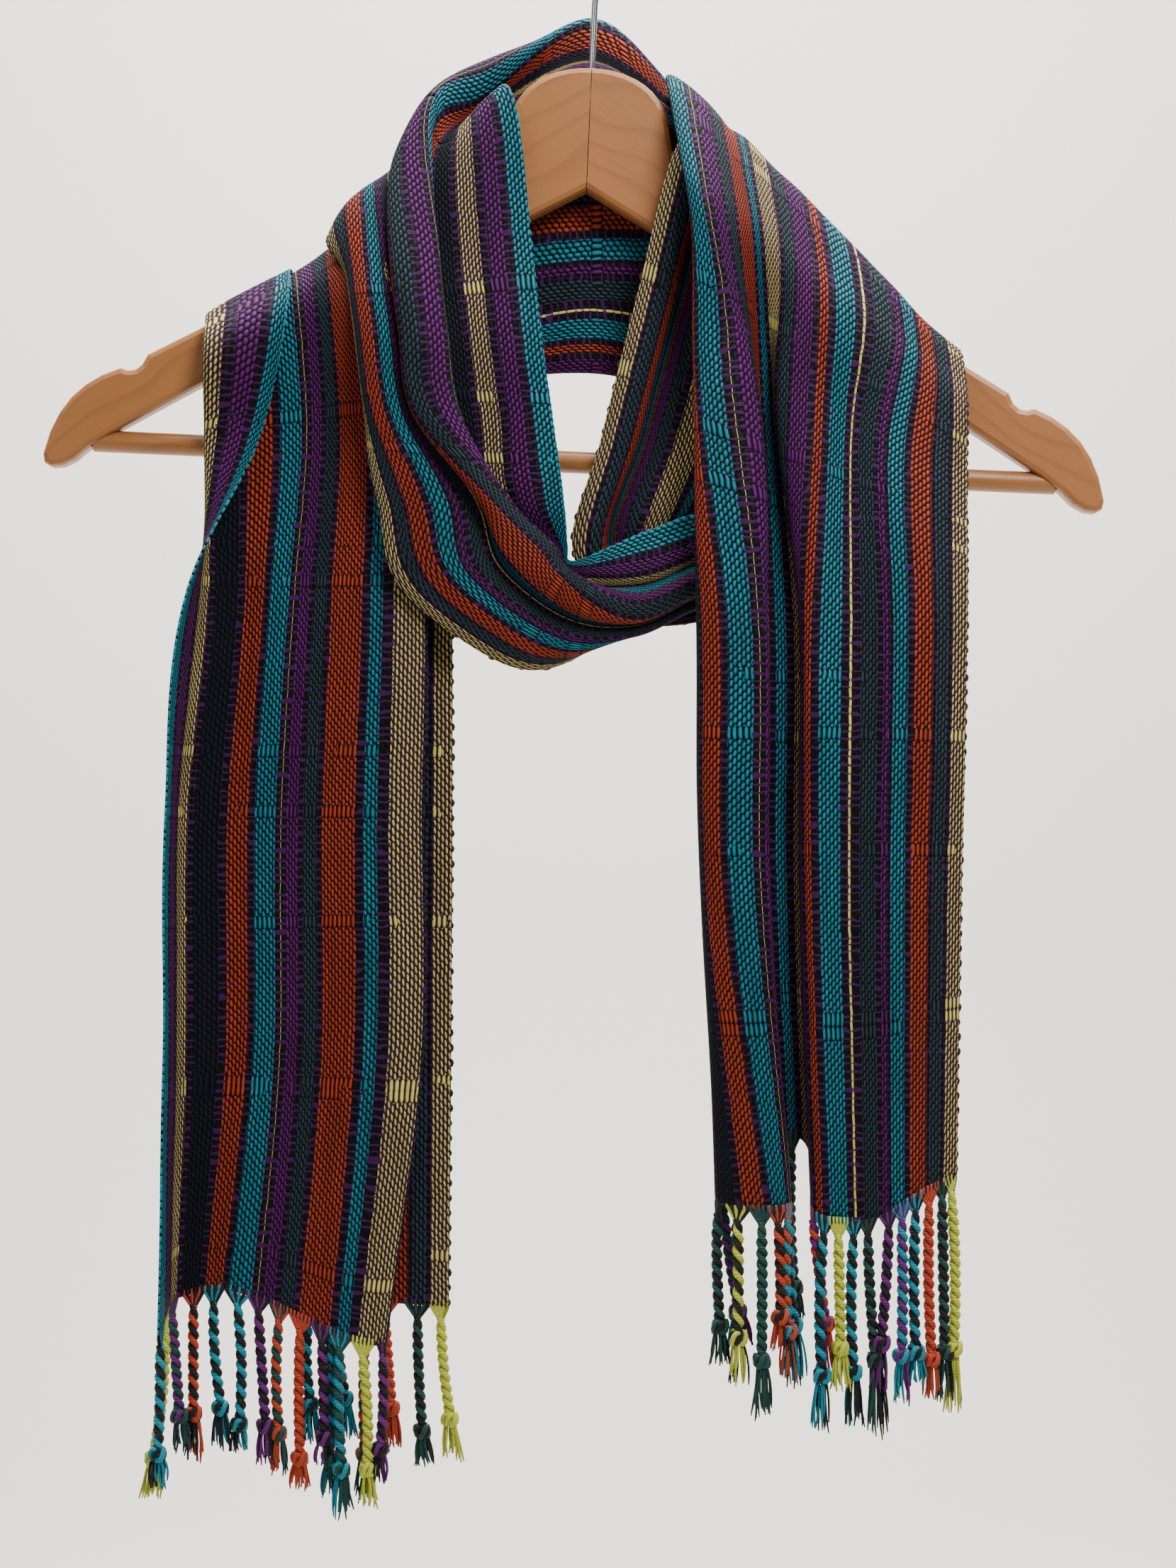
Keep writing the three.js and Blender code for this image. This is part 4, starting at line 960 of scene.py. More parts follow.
    def _tone_and_painted_shade(self, g: Graph, across: Input, along: Input, placed: Input, height: Input) -> Socket:
        """Works out how light the yarn is: its tone, which differs at random from yarn to yarn and in broad
        patches, its fibres, and painted shade that darkens each float from its crown towards its edges.

        Args:
            g: the material's nodes.
            across: the distance from the teal selvage, in mm.
            along: the distance along the cloth, in mm.
            placed: the distance from the teal selvage with the yarns' wander, in mm.
            height: the float's height, from 0 to 1.

        Returns:
            The socket with the factor for the yarn's colour.
        """
        yarn = g.math("FLOOR", g.math("DIVIDE", placed, self.pitch))
        tone = g.stretched((yarn, along), (3.7, 0.035), 1.0)
        patch = g.stretched((across, along), (0.03, 0.012), 1.3)
        fibre = g.stretched((across, along), (4.0, 1.2), 2.0)
        tone_and_painted_shade = g.times(g.line(tone, 0.8, 0.45), g.line(patch, 0.5, 0.7))
        # Painted shade: the float's height makes its crown light and its edges dark.
        tone_and_painted_shade = g.times(tone_and_painted_shade, g.line(height, 1.05, 0.12))
        return g.times(tone_and_painted_shade, g.line(fibre, 0.5, 0.75))

    @staticmethod
    def _blend(g: Graph, factor: Input, first: Input, second: Input) -> Socket:
        """Mixes two numbers.

        Args:
            g: the material's nodes.
            factor: how much of the second is taken.
            first: the first number.
            second: the second number.

        Returns:
            The socket with the mixed number.
        """
        return g.line(factor, g.math("SUBTRACT", second, first), first)

    def _stripe_at(self, g: Graph, across: Input) -> tuple[Socket, Socket]:
        """Looks up the stripe at a place.

        Args:
            g: the material's nodes.
            across: the distance from the teal selvage, in mm.

        Returns:
            The warp's colour, and the stripe's mark.
        """
        place = g.math("DIVIDE", across, self.width)
        starts = (0.0, *(stripe.until for stripe in STRIPES[:-1]))
        stops = [
            (start / self.width, (*stripe.yarn.linear[:3], stripe.mark(start)))
            for start, stripe in zip(starts, STRIPES)
        ]
        low = g.ramp(place, stops[:STRIPE_BREAK])
        high = g.ramp(place, stops[STRIPE_BREAK:])
        upper = g.math("GREATER_THAN", place, stops[STRIPE_BREAK][0])
        colour = g.mix(upper, low.outputs[0], high.outputs[0])
        return colour, self._blend(g, upper, low.outputs[1], high.outputs[1])

    def _ladder(self, g: Graph, across: Input, spread: Input) -> Socket:
        """Finds the dark ladders, widened on both sides.

        Args:
            g: the material's nodes.
            across: the distance from the teal selvage, in mm.
            spread: how much wider they are on each side, in mm.

        Returns:
            A mask that is 1 in the ladders.
        """
        marks = [self._stripe_at(g, g.math(way, across, spread))[1] for way in ("ADD", "SUBTRACT")]
        return g.math("GREATER_THAN", g.math("MAXIMUM", marks[0], marks[1]), LADDER_FROM)


@dataclass(frozen=True)
class TwistFinish:
    """One ply of a twisted cord, or a loose yarn, with fine fibres wound round it and painted shade in the
    grooves between them.
    """

    yarn: Yarn

    def material(self) -> bpy.types.Material:
        """Builds the finish, which reads turns and mm along the strand from its UV map."""
        g = Graph(f"yarn_{self.yarn.name.lower()}")
        around, along = g.mapped("strand")
        lay = g.plus(g.times(around, 5.0), g.times(along, 0.9))
        wave = g.math("SINE", g.times(lay, 2 * math.pi))
        fuzz = g.stretched((around, along), (4.0, 0.5), 3.0, 4.0)
        # Painted shade: the twist's wave darkens the grooves between the fibres; the fuzz gives random
        # tone.
        tone_and_painted_shade = g.line(wave, 0.13, g.line(fuzz, 0.6, 0.75))
        g.feed(g.shader.inputs["Base Color"], g.scale(self.yarn.linear[:3], tone_and_painted_shade))
        g.set_constants(Roughness=0.66, Sheen_Weight=0.04, Sheen_Roughness=0.5, Specular_IOR_Level=0.3)
        g.bump(wave, 0.6, 0.25 * MM)
        return g.material


@dataclass(frozen=True)
class WoodFinish:
    """Lacquered light wood, with its grain along an arm."""

    name: str
    grain_turn: float
    seed: float
    warmth: float = 0.0
    pale: Tint = (0.36, 0.148, 0.044, 1.0)
    deep: Tint = (0.3, 0.112, 0.029, 1.0)
    warm: Tint = (0.34, 0.118, 0.038, 1.0)
    ring_edge: Tint = (0.22, 0.08, 0.024, 1.0)
    pore: Tint = (0.25, 0.095, 0.03, 1.0)

    def material(self) -> bpy.types.Material:
        """Builds the finish in the piece's own place in metres."""
        g = Graph(self.name)
        turned = g.node("ShaderNodeMapping", vector_type="TEXTURE")
        turned.inputs["Rotation"].default_value = (0.0, math.radians(self.grain_turn), 0.0)
        turned.inputs["Location"].default_value = (self.seed, 0.0, self.seed)
        g.feed(turned.inputs["Vector"], g.node("ShaderNodeTexCoord").outputs["Object"])
        spot = g.node("ShaderNodeSeparateXYZ")
        g.feed(spot.inputs[0], turned.outputs[0])
        length, depth, height = spot.outputs
        bow = g.stretched((length, depth, height), (9.0, None, 14.0), 1.0)
        ring = g.plus(g.times(height, 95.0), g.times(bow, 5.5))
        ring = g.plus(ring, g.times(depth, 40.0))
        rings = g.math("FRACT", ring)
        edge = g.soft_step(rings, 0.62, 1.0)
        pores = g.stretched((length, depth, height), (60.0, 700.0, 900.0), 1.0, 3.0)
        cloud = g.stretched((length, depth, height), (16.0, None, 40.0), 1.0, 2.0)
        tint = g.mix(cloud, self.pale, self.deep)
        tint = g.mix(self.warmth, tint, self.warm)
        tint = g.mix(g.times(edge, 0.42), tint, self.ring_edge)
        tint = g.mix(g.times(g.soft_step(pores, 0.56, 0.72), 0.3), tint, self.pore)
        g.feed(g.shader.inputs["Base Color"], tint)
        g.feed(g.shader.inputs["Roughness"], g.line(pores, 0.18, 0.3))
        g.set_constants(Coat_Weight=0.12, Coat_Roughness=0.35, Specular_IOR_Level=0.4)
        g.bump(g.plus(pores, g.times(edge, 0.4)), 0.12, 0.3 * MM)
        return g.material


@dataclass(frozen=True)
class WireFinish:
    """Bright chromed steel wire."""

    name: str = "bright_wire"
    bright: Tint = (0.88, 0.89, 0.91, 1.0)
    dull: Tint = (0.7, 0.71, 0.74, 1.0)

    def material(self) -> bpy.types.Material:
        """Builds the finish, with faint drawing marks along the wire."""
        g = Graph(self.name)
        stretched = g.node("ShaderNodeMapping")
        stretched.inputs["Scale"].default_value = (60.0, 60.0, 2.0)
        g.feed(stretched.inputs["Vector"], g.node("ShaderNodeTexCoord").outputs["Object"])
        marks = g.noise(stretched.outputs[0], 60.0, 3.0)
        g.feed(g.shader.inputs["Base Color"], g.mix(marks, self.bright, self.dull))
        g.feed(g.shader.inputs["Roughness"], g.line(marks, 0.12, 0.08))
        g.set_constants(Metallic=1.0)
        return g.material


@dataclass(frozen=True)
class PlainFinish:
    """A matt, even finish for the floor and backdrop."""

    name: str
    colour: Tint

    def material(self) -> bpy.types.Material:
        """Builds the finish with a trace of unevenness."""
        g = Graph(self.name)
        mottle = g.noise(g.node("ShaderNodeTexCoord").outputs["Object"], 1.5)
        g.feed(g.shader.inputs["Base Color"], g.scale(self.colour[:3], g.line(mottle, 0.02, 0.99)))
        g.set_constants(Roughness=0.9)
        return g.material


# ---- Mesh helpers ------------------------------------------------------------------------------
def add_object(name: str, mesh: bpy.types.Mesh, finishes: Sequence[bpy.types.Material]) -> bpy.types.Object:
    """Puts a smooth mesh in the scene at the origin.

    Args:
        name: the piece's name.
        mesh: its mesh, already in place.
        finishes: its materials, in the order of its faces' numbers.

    Returns:
        The new object.
    """
    for finish in finishes:
        mesh.materials.append(finish)
    mesh.polygons.foreach_set("use_smooth", [True] * len(mesh.polygons))
    piece = bpy.data.objects.new(name, mesh)
    bpy.context.scene.collection.objects.link(piece)
    return piece


def finish_mesh(name: str, bm: bmesh.types.BMesh) -> bpy.types.Mesh:
    """Turns an edit mesh into a mesh and frees it."""
    mesh = bpy.data.meshes.new(name)
    bm.to_mesh(mesh)
    bm.free()
    return mesh


def grid_steps(verts: Sequence[bmesh.types.BMVert], columns: int, rows: int) -> list[tuple[int, int]]:
    """Numbers the vertices of a fresh grid, which spans -1 to 1 both ways.

    Args:
        verts: the grid's vertices.
        columns: how many faces it has along X.
        rows: how many faces it has along Y.

    Returns:
        The column and row of each vertex.
    """
    return [
        (round((v.co.x + 1) / 2 * columns), round((v.co.y + 1) / 2 * rows))
        for v in verts
    ]


def add_tube(
    bm: bmesh.types.BMesh,
    path: Sequence[Vector],
    radii: Sequence[float],
    sides: int,
    finish: int = 0,
) -> None:
    """Adds a closed tube: a grid that is wound round a path, joined and capped.

    Args:
        bm: the mesh to add to; it has a UV layer named strand.
        path: the points of the centre line, in metres.
        radii: the tube's radius at each point, in metres.
        sides: how many faces go round it.
        finish: the number of its material.
    """
    layer = bm.loops.layers.uv["strand"]
    rows = len(path) - 1
    verts = bmesh.ops.create_grid(bm, x_segments=sides, y_segments=rows, size=1.0)["verts"]
    steps = grid_steps(verts, sides, rows)
    ring_frames = []
    normal = (path[1] - path[0]).orthogonal().normalized()
    run = [0.0]
    for index in range(rows + 1):
        ahead = path[min(index + 1, rows)] - path[max(index - 1, 0)]
        tangent = ahead.normalized()
        normal = (normal - tangent * normal.dot(tangent)).normalized()
        ring_frames.append((normal.copy(), tangent.cross(normal)))
        if index:
            run.append(run[-1] + (path[index] - path[index - 1]).length / MM)
    place = {}
    for vert, (column, row) in zip(verts, steps):
        angle = 2 * math.pi * column / sides
        first, second = ring_frames[row]
        vert.co = path[row] + (first * math.cos(angle) + second * math.sin(angle)) * radii[row]
        place[vert] = (column / sides, run[row])
    faces = {face for vert in verts for face in vert.link_faces}
    for face in faces:
        face.material_index = finish
        for loop in face.loops:
            loop[layer].uv = place[loop.vert]
    bmesh.ops.remove_doubles(bm, verts=verts, dist=1e-7)
    live = {vert for face in faces if face.is_valid for vert in face.verts}
    rim = {edge for vert in live for edge in vert.link_edges if edge.is_boundary}
    caps = bmesh.ops.holes_fill(bm, edges=list(rim), sides=0)["faces"]
    for face in caps:
        face.material_index = finish
    bmesh.ops.recalc_face_normals(bm, faces=[f for f in faces if f.is_valid] + caps)


def strand_mesh() -> bmesh.types.BMesh:
    """An empty edit mesh with the UV layer that strands need."""
    bm = bmesh.new()
    bm.loops.layers.uv.new("strand")
    return bm


# ---- The scarf ---------------------------------------------------------------------------------
@dataclass
class Cloth:
    """One stretch of the scarf that shows: a pleated sheet with its weave."""

    node: str
    start: str
    end: str
    rests_on: tuple[str, ...]
    held: str = "draped"
    step: float = 2.7
    columns_per_fold: int = 10
    thick: float = 1.1
    seam: float = 0.15
    least_shown: float = 0.35

    def distances(self, form: ScarfForm) -> np.ndarray:
        """The distances along the scarf at which the sheet has a row of points, in mm."""
        low = form.station(self.start) + self.seam
        high = form.station(self.end) - self.seam
        return np.linspace(low, high, round((high - low) / self.step) + 1)

    def build(self, form: ScarfForm, finish: bpy.types.Material) -> bpy.types.Object:
        """Args:
            form: the whole scarf's middle surface.
            finish: the weave.

        Returns:
            The piece.
        """
        distances = self.distances(form)
        rows = len(distances) - 1
        columns = (form.folds.shape[1] - 1) * self.columns_per_fold
        surface = form.surface(distances, np.linspace(0, form.folds.shape[1] - 1, columns + 1))
        bm = bmesh.new()
        layer = bm.loops.layers.uv.new("cloth")
        row_layer = bm.verts.layers.float.new("row")
        verts = bmesh.ops.create_grid(bm, x_segments=columns, y_segments=rows, size=1.0)["verts"]
        steps = grid_steps(verts, columns, rows)
        place = {}
        for vert, (column, row) in zip(verts, steps):
            vert.co = surface.points[row, column] * MM
            vert[row_layer] = distances[row]
            place[vert] = (surface.across[row, column], surface.along[row, column])
        for face in bm.faces:
            for loop in face.loops:
                loop[layer].uv = place[loop.vert]
        sheet_area = sum(face.calc_area() for face in bm.faces)
        piece = add_object(f"{self.node}_cloth", finish_mesh(self.node, bm), [finish])
        wall = piece.modifiers.new("wall", "SOLIDIFY")
        wall.thickness = self.thick * MM
        wall.offset = 0.0
        self._declare(piece, sheet_area, (distances[-1] - distances[0]) * MM)
        return piece

    def _declare(self, piece: bpy.types.Object, sheet_area: float, length: float) -> None:
        """Attaches the piece to the root body, hides the CAD node that it replaces and logs its length and
        area.

        Args:
            piece: the sheet.
            sheet_area: the area of one face of it, in square metres.
            length: its length along the scarf, in metres.
        """
        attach(piece, "root")
        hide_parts(self.node)
        LOG.info("%s: %.0f mm long, %.3f m2 of cloth shown", piece.name, length / MM, sheet_area)


@dataclass
class Selvage:
    """The turned edge of the weave along one side: small loops of the weft at each pick."""

    side: Side
    yarn: Yarn
    spacing: float = 3.3
    loop_radius: float = 0.6
    loop_reach: float = 0.35
    loop_half: float = 1.15
    loop_root: float = 0.5
    loop_steps: int = 4
    inset: float = 1.5
    inward_step: float = 0.12
    seed: int = 11

    def build(self, form: ScarfForm) -> bpy.types.Object:
        """Builds the loops along the whole scarf as one piece.

        Args:
            form: the scarf's middle surface.

        Returns:
            The piece.
        """
        total = float(form.stations[-1])
        last = form.folds.shape[1] - 1
        edge_places = (0.0, self.inward_step) if self.side is Side.TEAL else (last, last - self.inward_step)
        places = np.array(edge_places)
        distances = np.arange(self.inset, total - self.inset, self.spacing)
        surface = form.surface(distances, places)
        bm = strand_mesh()
        chance = random.Random(self.seed)
        for row in range(len(distances)):
            edge = Vector(surface.points[row, 0])
            inward = (Vector(surface.points[row, 1]) - edge).normalized()
            before, after = max(row - 1, 0), min(row + 1, len(distances) - 1)
            ahead = Vector(surface.points[after, 0] - surface.points[before, 0])
            ahead.normalize()
            self._add_loop(bm, edge * MM, inward, ahead, 0.7 + 0.6 * chance.random())
        finish = TwistFinish(self.yarn).material()
        piece = add_object(f"scarf_selvage_{self.side.value}", finish_mesh("selvage", bm), [finish])
        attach(piece, "root")
        return piece

    def _add_loop(
        self, bm: bmesh.types.BMesh, edge: Vector, inward: Vector, ahead: Vector, size: float
    ) -> None:
        """Adds one small loop of weft at the edge.

        Args:
            bm: the mesh to add to.
            edge: the edge's point, in metres.
            inward: the way into the cloth.
            ahead: the way along the edge.
            size: how large this loop is, about 1.
        """
        points = []
        for step in range(self.loop_steps + 1):
            angle = math.pi * step / self.loop_steps
            out = -inward * math.sin(angle) * self.loop_reach * size + inward * self.loop_root
            points.append(edge + (out + ahead * math.cos(angle) * self.loop_half * size) * MM)
        add_tube(bm, points, [self.loop_radius * MM] * len(points), sides=5)


class CordRow(NamedTuple):
    """One twisted cord of the fringe, in mm.

    across is its root's distance from the teal selvage, cord its length down to the knot, tuft the
    length below the knot, and lean how far its foot stands to the side.
    """

    across: float
    cord: float
    tuft: float
    lean: float
    first: Yarn
    second: Yarn


def cords(*rows: tuple[float, float, float, float, Yarn, Yarn]) -> tuple[CordRow, ...]:
    """Names the columns of a table of cords.

    Args:
        rows: each cord's across, length, tuft, lean and two yarns.

    Returns:
        The cords.
    """
    return tuple(CordRow(*row) for row in rows)


FRINGE_LEFT = cords(
    (3, 48, 14, -1, Yarn.TEAL, Yarn.BLACK), (14, 57, 16, -5, Yarn.LIME, Yarn.LIME),
    (27, 46, 15, 3, Yarn.GREEN, Yarn.PURPLE), (40, 49, 20, 0, Yarn.ORANGE, Yarn.BLACK),
    (50, 48, 18, 3, Yarn.TEAL, Yarn.BLACK), (61, 54, 12, 1, Yarn.BLACK, Yarn.TEAL),
    (70, 52, 17, 3, Yarn.PURPLE, Yarn.BLACK), (81, 51, 17, 0, Yarn.GREEN, Yarn.ORANGE),
    (92, 57, 13, 0, Yarn.ORANGE, Yarn.ORANGE), (103, 44, 12, 1, Yarn.PURPLE, Yarn.BLACK),
    (112, 54, 20, 1, Yarn.TEAL, Yarn.GREEN), (123, 51, 16, 2, Yarn.LIME, Yarn.LIME),
    (135, 43, 14, -1, Yarn.BLACK, Yarn.PURPLE), (148, 50, 20, 0, Yarn.ORANGE, Yarn.GREEN),
    (163, 56, 16, 0, Yarn.GREEN, Yarn.TEAL), (178, 38, 17, 1, Yarn.BLACK, Yarn.TEAL),
    (191, 38, 17, 4, Yarn.TEAL, Yarn.BLACK), (209, 43, 18, 3, Yarn.ORANGE, Yarn.ORANGE),
    (222, 52, 15, 2, Yarn.GREEN, Yarn.BLACK), (232, 46, 18, 4, Yarn.LIME, Yarn.LIME),
)
FRINGE_RIGHT = cords(
    (4, 47, 14, 0, Yarn.TEAL, Yarn.BLACK), (17, 45, 14, 6, Yarn.PURPLE, Yarn.GREEN),
    (30, 50, 16, 1, Yarn.GREEN, Yarn.BLACK), (43, 52, 19, 0, Yarn.LIME, Yarn.BLACK),
    (53, 60, 24, 0, Yarn.GREEN, Yarn.GREEN), (61, 42, 14, 1, Yarn.ORANGE, Yarn.BLACK),
    (69, 49, 21, 0, Yarn.ORANGE, Yarn.TEAL), (77, 50, 25, 2, Yarn.TEAL, Yarn.BLACK),
    (113, 61, 15, 1, Yarn.GREEN, Yarn.BLACK), (150, 46, 24, 5, Yarn.ORANGE, Yarn.PURPLE),
    (163, 62, 23, -1, Yarn.TEAL, Yarn.BLACK), (171, 50, 18, 1, Yarn.LIME, Yarn.LIME),
    (179, 60, 23, 0, Yarn.TEAL, Yarn.BLACK), (187, 56, 32, 3, Yarn.GREEN, Yarn.BLACK),
    (199, 52, 20, -3, Yarn.PURPLE, Yarn.BLACK), (206, 60, 20, 0, Yarn.TEAL, Yarn.PURPLE),
    (213, 62, 14, 0, Yarn.TEAL, Yarn.BLACK), (220, 68, 16, 1, Yarn.ORANGE, Yarn.ORANGE),
    (227, 68, 20, 1, Yarn.BLACK, Yarn.GREEN), (233, 68, 26, 1, Yarn.LIME, Yarn.LIME),
)


@dataclass
class Fringe:
    """The knotted fringe of one hem: two-ply cords, each with its roots, knot and tuft."""

    node: str
    hem: str
    way: int
    rows: tuple[CordRow, ...]
    seed: int
    ply_radius: float = 1.3
    helix: float = 1.15
    pitch: float = 8.5
    ply_sides: int = 8
    knot_radius: float = 3.1
    tuft_yarns: int = 17
    tuft_radius: float = 0.6
    tuft_steps: int = 5
    root_places: tuple[float, ...] = (-4.6, -2.8, -0.9, 0.9, 2.8, 4.6)
    root_radii: tuple[float, ...] = (0.7, 0.8, 0.95, 0.9)
    root_out: float = 0.6
    root_in: float = -2.0
    root_bend: float = 0.6
    foot_drop: float = 1.6
    gather: float = 4.5
    line_step: float = 0.9
    bow: float = 3.0
    sway: float = 1.6
    knot_steps: int = 30
    knot_yarn: float = 1.15
    knot_depth: float = 0.75
    knot_spin: float = 0.9
    knot_shrink: float = 0.5
    hem_radius: float = 0.6
    hem_steps: int = 160
    edge_margin: float = 0.5

    def build(self, form: ScarfForm, finishes: dict[Yarn, bpy.types.Material]) -> bpy.types.Object:
        """Builds every cord of the hem as one piece.

        Args:
            form: the scarf's middle surface.
            finishes: the material of each yarn.

        Returns:
            The piece.
        """
        yarns = list(finishes)
        edge = form.station(self.hem)
        bm = strand_mesh()
        chance = random.Random(self.seed)
        for row in self.rows:
            places = [row.across + off for off in self.root_places]
            roots = [self._hem_point(form, edge, place, self.root_out) for place in places]
            inner = [self._hem_point(form, edge, place, self.root_in) for place in places]
            middle = sum(roots, Vector()) / len(roots)
            line = self._centre_line(middle, row, chance)
            numbers = (yarns.index(row.first), yarns.index(row.second))
            foot = line[0] + Vector((0, 0, -self.foot_drop * MM))
            radii = [radius * MM for radius in self.root_radii]
            for index, (start, root) in enumerate(zip(inner, roots)):
                path = [start, root, root.lerp(foot, self.root_bend), foot]
                add_tube(bm, path, radii, sides=6, finish=numbers[index % 2])
            self._add_plies(bm, line, numbers)
            self._add_knot(bm, line[-1], numbers, chance)
            self._add_tuft(bm, line[-1], row, numbers, chance)
        self._add_hem_line(bm, form, edge, yarns.index(Yarn.PLUM))
        piece = add_object(f"{self.node}_cords", finish_mesh(self.node, bm), list(finishes.values()))
        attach(piece, "root")
        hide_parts(self.node)
        return piece

    def _hem_point(self, form: ScarfForm, edge: float, across: float, past: float) -> Vector:
        """Finds a point of the cloth's middle near the hem.

        Args:
            form: the scarf's middle surface.
            edge: the hem's distance along the scarf, in mm.
            across: the distance from the teal selvage, in mm.
            past: how far it lies past the hem, in mm.

        Returns:
            The point, in metres.
        """
        low, high = self.edge_margin, WovenFinish().width - self.edge_margin
        place = form.place_across(self.hem, min(max(across, low), high))
        rows = np.array([edge, edge + self.way * past])
        return Vector(form.surface(rows, np.array([place, place + 0.01])).points[1, 0]) * MM

    def _add_hem_line(self, bm: bmesh.types.BMesh, form: ScarfForm, edge: float, number: int) -> None:
        """Lays the last weft yarn along the hem.

        Args:
            bm: the mesh to add to.
            form: the scarf's middle surface.
            edge: the hem's distance along the scarf, in mm.
            number: the number of its material.
        """
        places = np.linspace(0.0, form.folds.shape[1] - 1, self.hem_steps + 1)
        points = form.surface(np.array([edge, edge + self.way * 0.25]), places).points[1]
        path = [Vector(point) * MM for point in points]
        add_tube(bm, path, [self.hem_radius * MM] * len(path), sides=8, finish=number)

    def _centre_line(self, middle: Vector, row: CordRow, chance: random.Random) -> list[Vector]:
        """The cord's centre line, from under its roots to its knot.

        Args:
            middle: the middle of its roots, in metres.
            row: the cord.
            chance: the source of small differences.

        Returns:
            Points about 0.9 mm apart, in metres.
        """
        bow = (chance.random() - 0.5) * self.bow
        sway = (chance.random() - 0.5) * self.sway
        count = round(row.cord / self.line_step)
        points = []
        for step in range(count + 1):
            t = step / count
            side = row.lean * t + bow * math.sin(math.pi * t)
            depth = sway * math.sin(math.pi * t)
            drop = -self.gather - (row.cord - self.gather) * t
            points.append(middle + Vector((side, depth, drop)) * MM)
        return points

    def _add_plies(self, bm: bmesh.types.BMesh, line: Sequence[Vector], numbers: tuple[int, int]) -> None:
        """Winds two plies round the centre line.

        Args:
            bm: the mesh to add to.
            line: the centre line.
            numbers: the materials of the two plies.
        """
        length = (line[-1] - line[0]).length / MM
        for index, number in enumerate(numbers):
            path, radii = [], []
            for step, point in enumerate(line):
                t = step / (len(line) - 1)
                angle = 2 * math.pi * (length * t / self.pitch) + math.pi * index
                reach = self.helix * min(1.0, 0.3 + 5 * t)
                path.append(point + Vector((math.cos(angle), math.sin(angle), 0)) * reach * MM)
                radii.append(self.ply_radius * MM * (1.0 + 0.05 * math.sin(2.1 * step)))
            add_tube(bm, path, radii, self.ply_sides, number)

    def _add_knot(
        self, bm: bmesh.types.BMesh, foot: Vector, numbers: tuple[int, int], chance: random.Random
    ) -> None:
        """Ties a small overhand knot at the cord's foot.

        Args:
            bm: the mesh to add to.
            foot: the centre line's last point.
            numbers: the materials of the two plies.
            chance: the source of small differences.
        """
        turn = chance.random() * math.tau
        for index, number in enumerate(numbers):
            path = []
            spin = turn + index * self.knot_spin
            for step in range(self.knot_steps + 1):
                t = math.tau * step / self.knot_steps
                x = (math.sin(t) + 2 * math.sin(2 * t)) / 3
                y = (math.cos(t) - 2 * math.cos(2 * t)) / 3
                z = -math.sin(3 * t)
                flat = Vector((
                    x * math.cos(spin) - y * math.sin(spin),
                    x * math.sin(spin) + y * math.cos(spin),
                    z * self.knot_depth,
                ))
                size = self.knot_radius - self.knot_shrink * index
                path.append(foot + (flat * size + Vector((0, 0, -1.0))) * MM)
            add_tube(bm, path, [self.knot_yarn * MM] * len(path), sides=6, finish=number)

    def _add_tuft(
        self, bm: bmesh.types.BMesh, foot: Vector, row: CordRow, numbers: tuple[int, int],
        chance: random.Random,
    ) -> None:
        """Lets loose yarns hang below the knot.

        Args:
            bm: the mesh to add to.
            foot: the centre line's last point.
            row: the cord.
            numbers: the materials of the two plies.
            chance: the source of small differences.
        """
        split = chance.random() * math.tau
        for index in range(self.tuft_yarns):
            angle = math.tau * index / self.tuft_yarns + chance.random() * 0.6
            near, far = 1.1 + chance.random() * 0.9, 2.2 + chance.random() * 2.6
            length = row.tuft * (0.72 + 0.28 * chance.random())
            curl = (chance.random() - 0.5) * 2.2
            path = []
            for step in range(self.tuft_steps + 1):
                t = step / self.tuft_steps
                reach = near + (far - near) * t**0.8
                swing = curl * math.sin(math.pi * t)
                side = Vector((math.cos(angle), 0.7 * math.sin(angle), 0)) * reach + Vector((swing, 0, 0))
                path.append(foot + (side + Vector((row.lean * 0.25 * t, 0, -1.5 - length * t))) * MM)
            number = numbers[0 if math.cos(angle - split) > 0 else 1]
            radii = [self.tuft_radius * MM] * self.tuft_steps + [self.tuft_radius * MM * 0.55]
            add_tube(bm, path, radii, sides=4, finish=number)


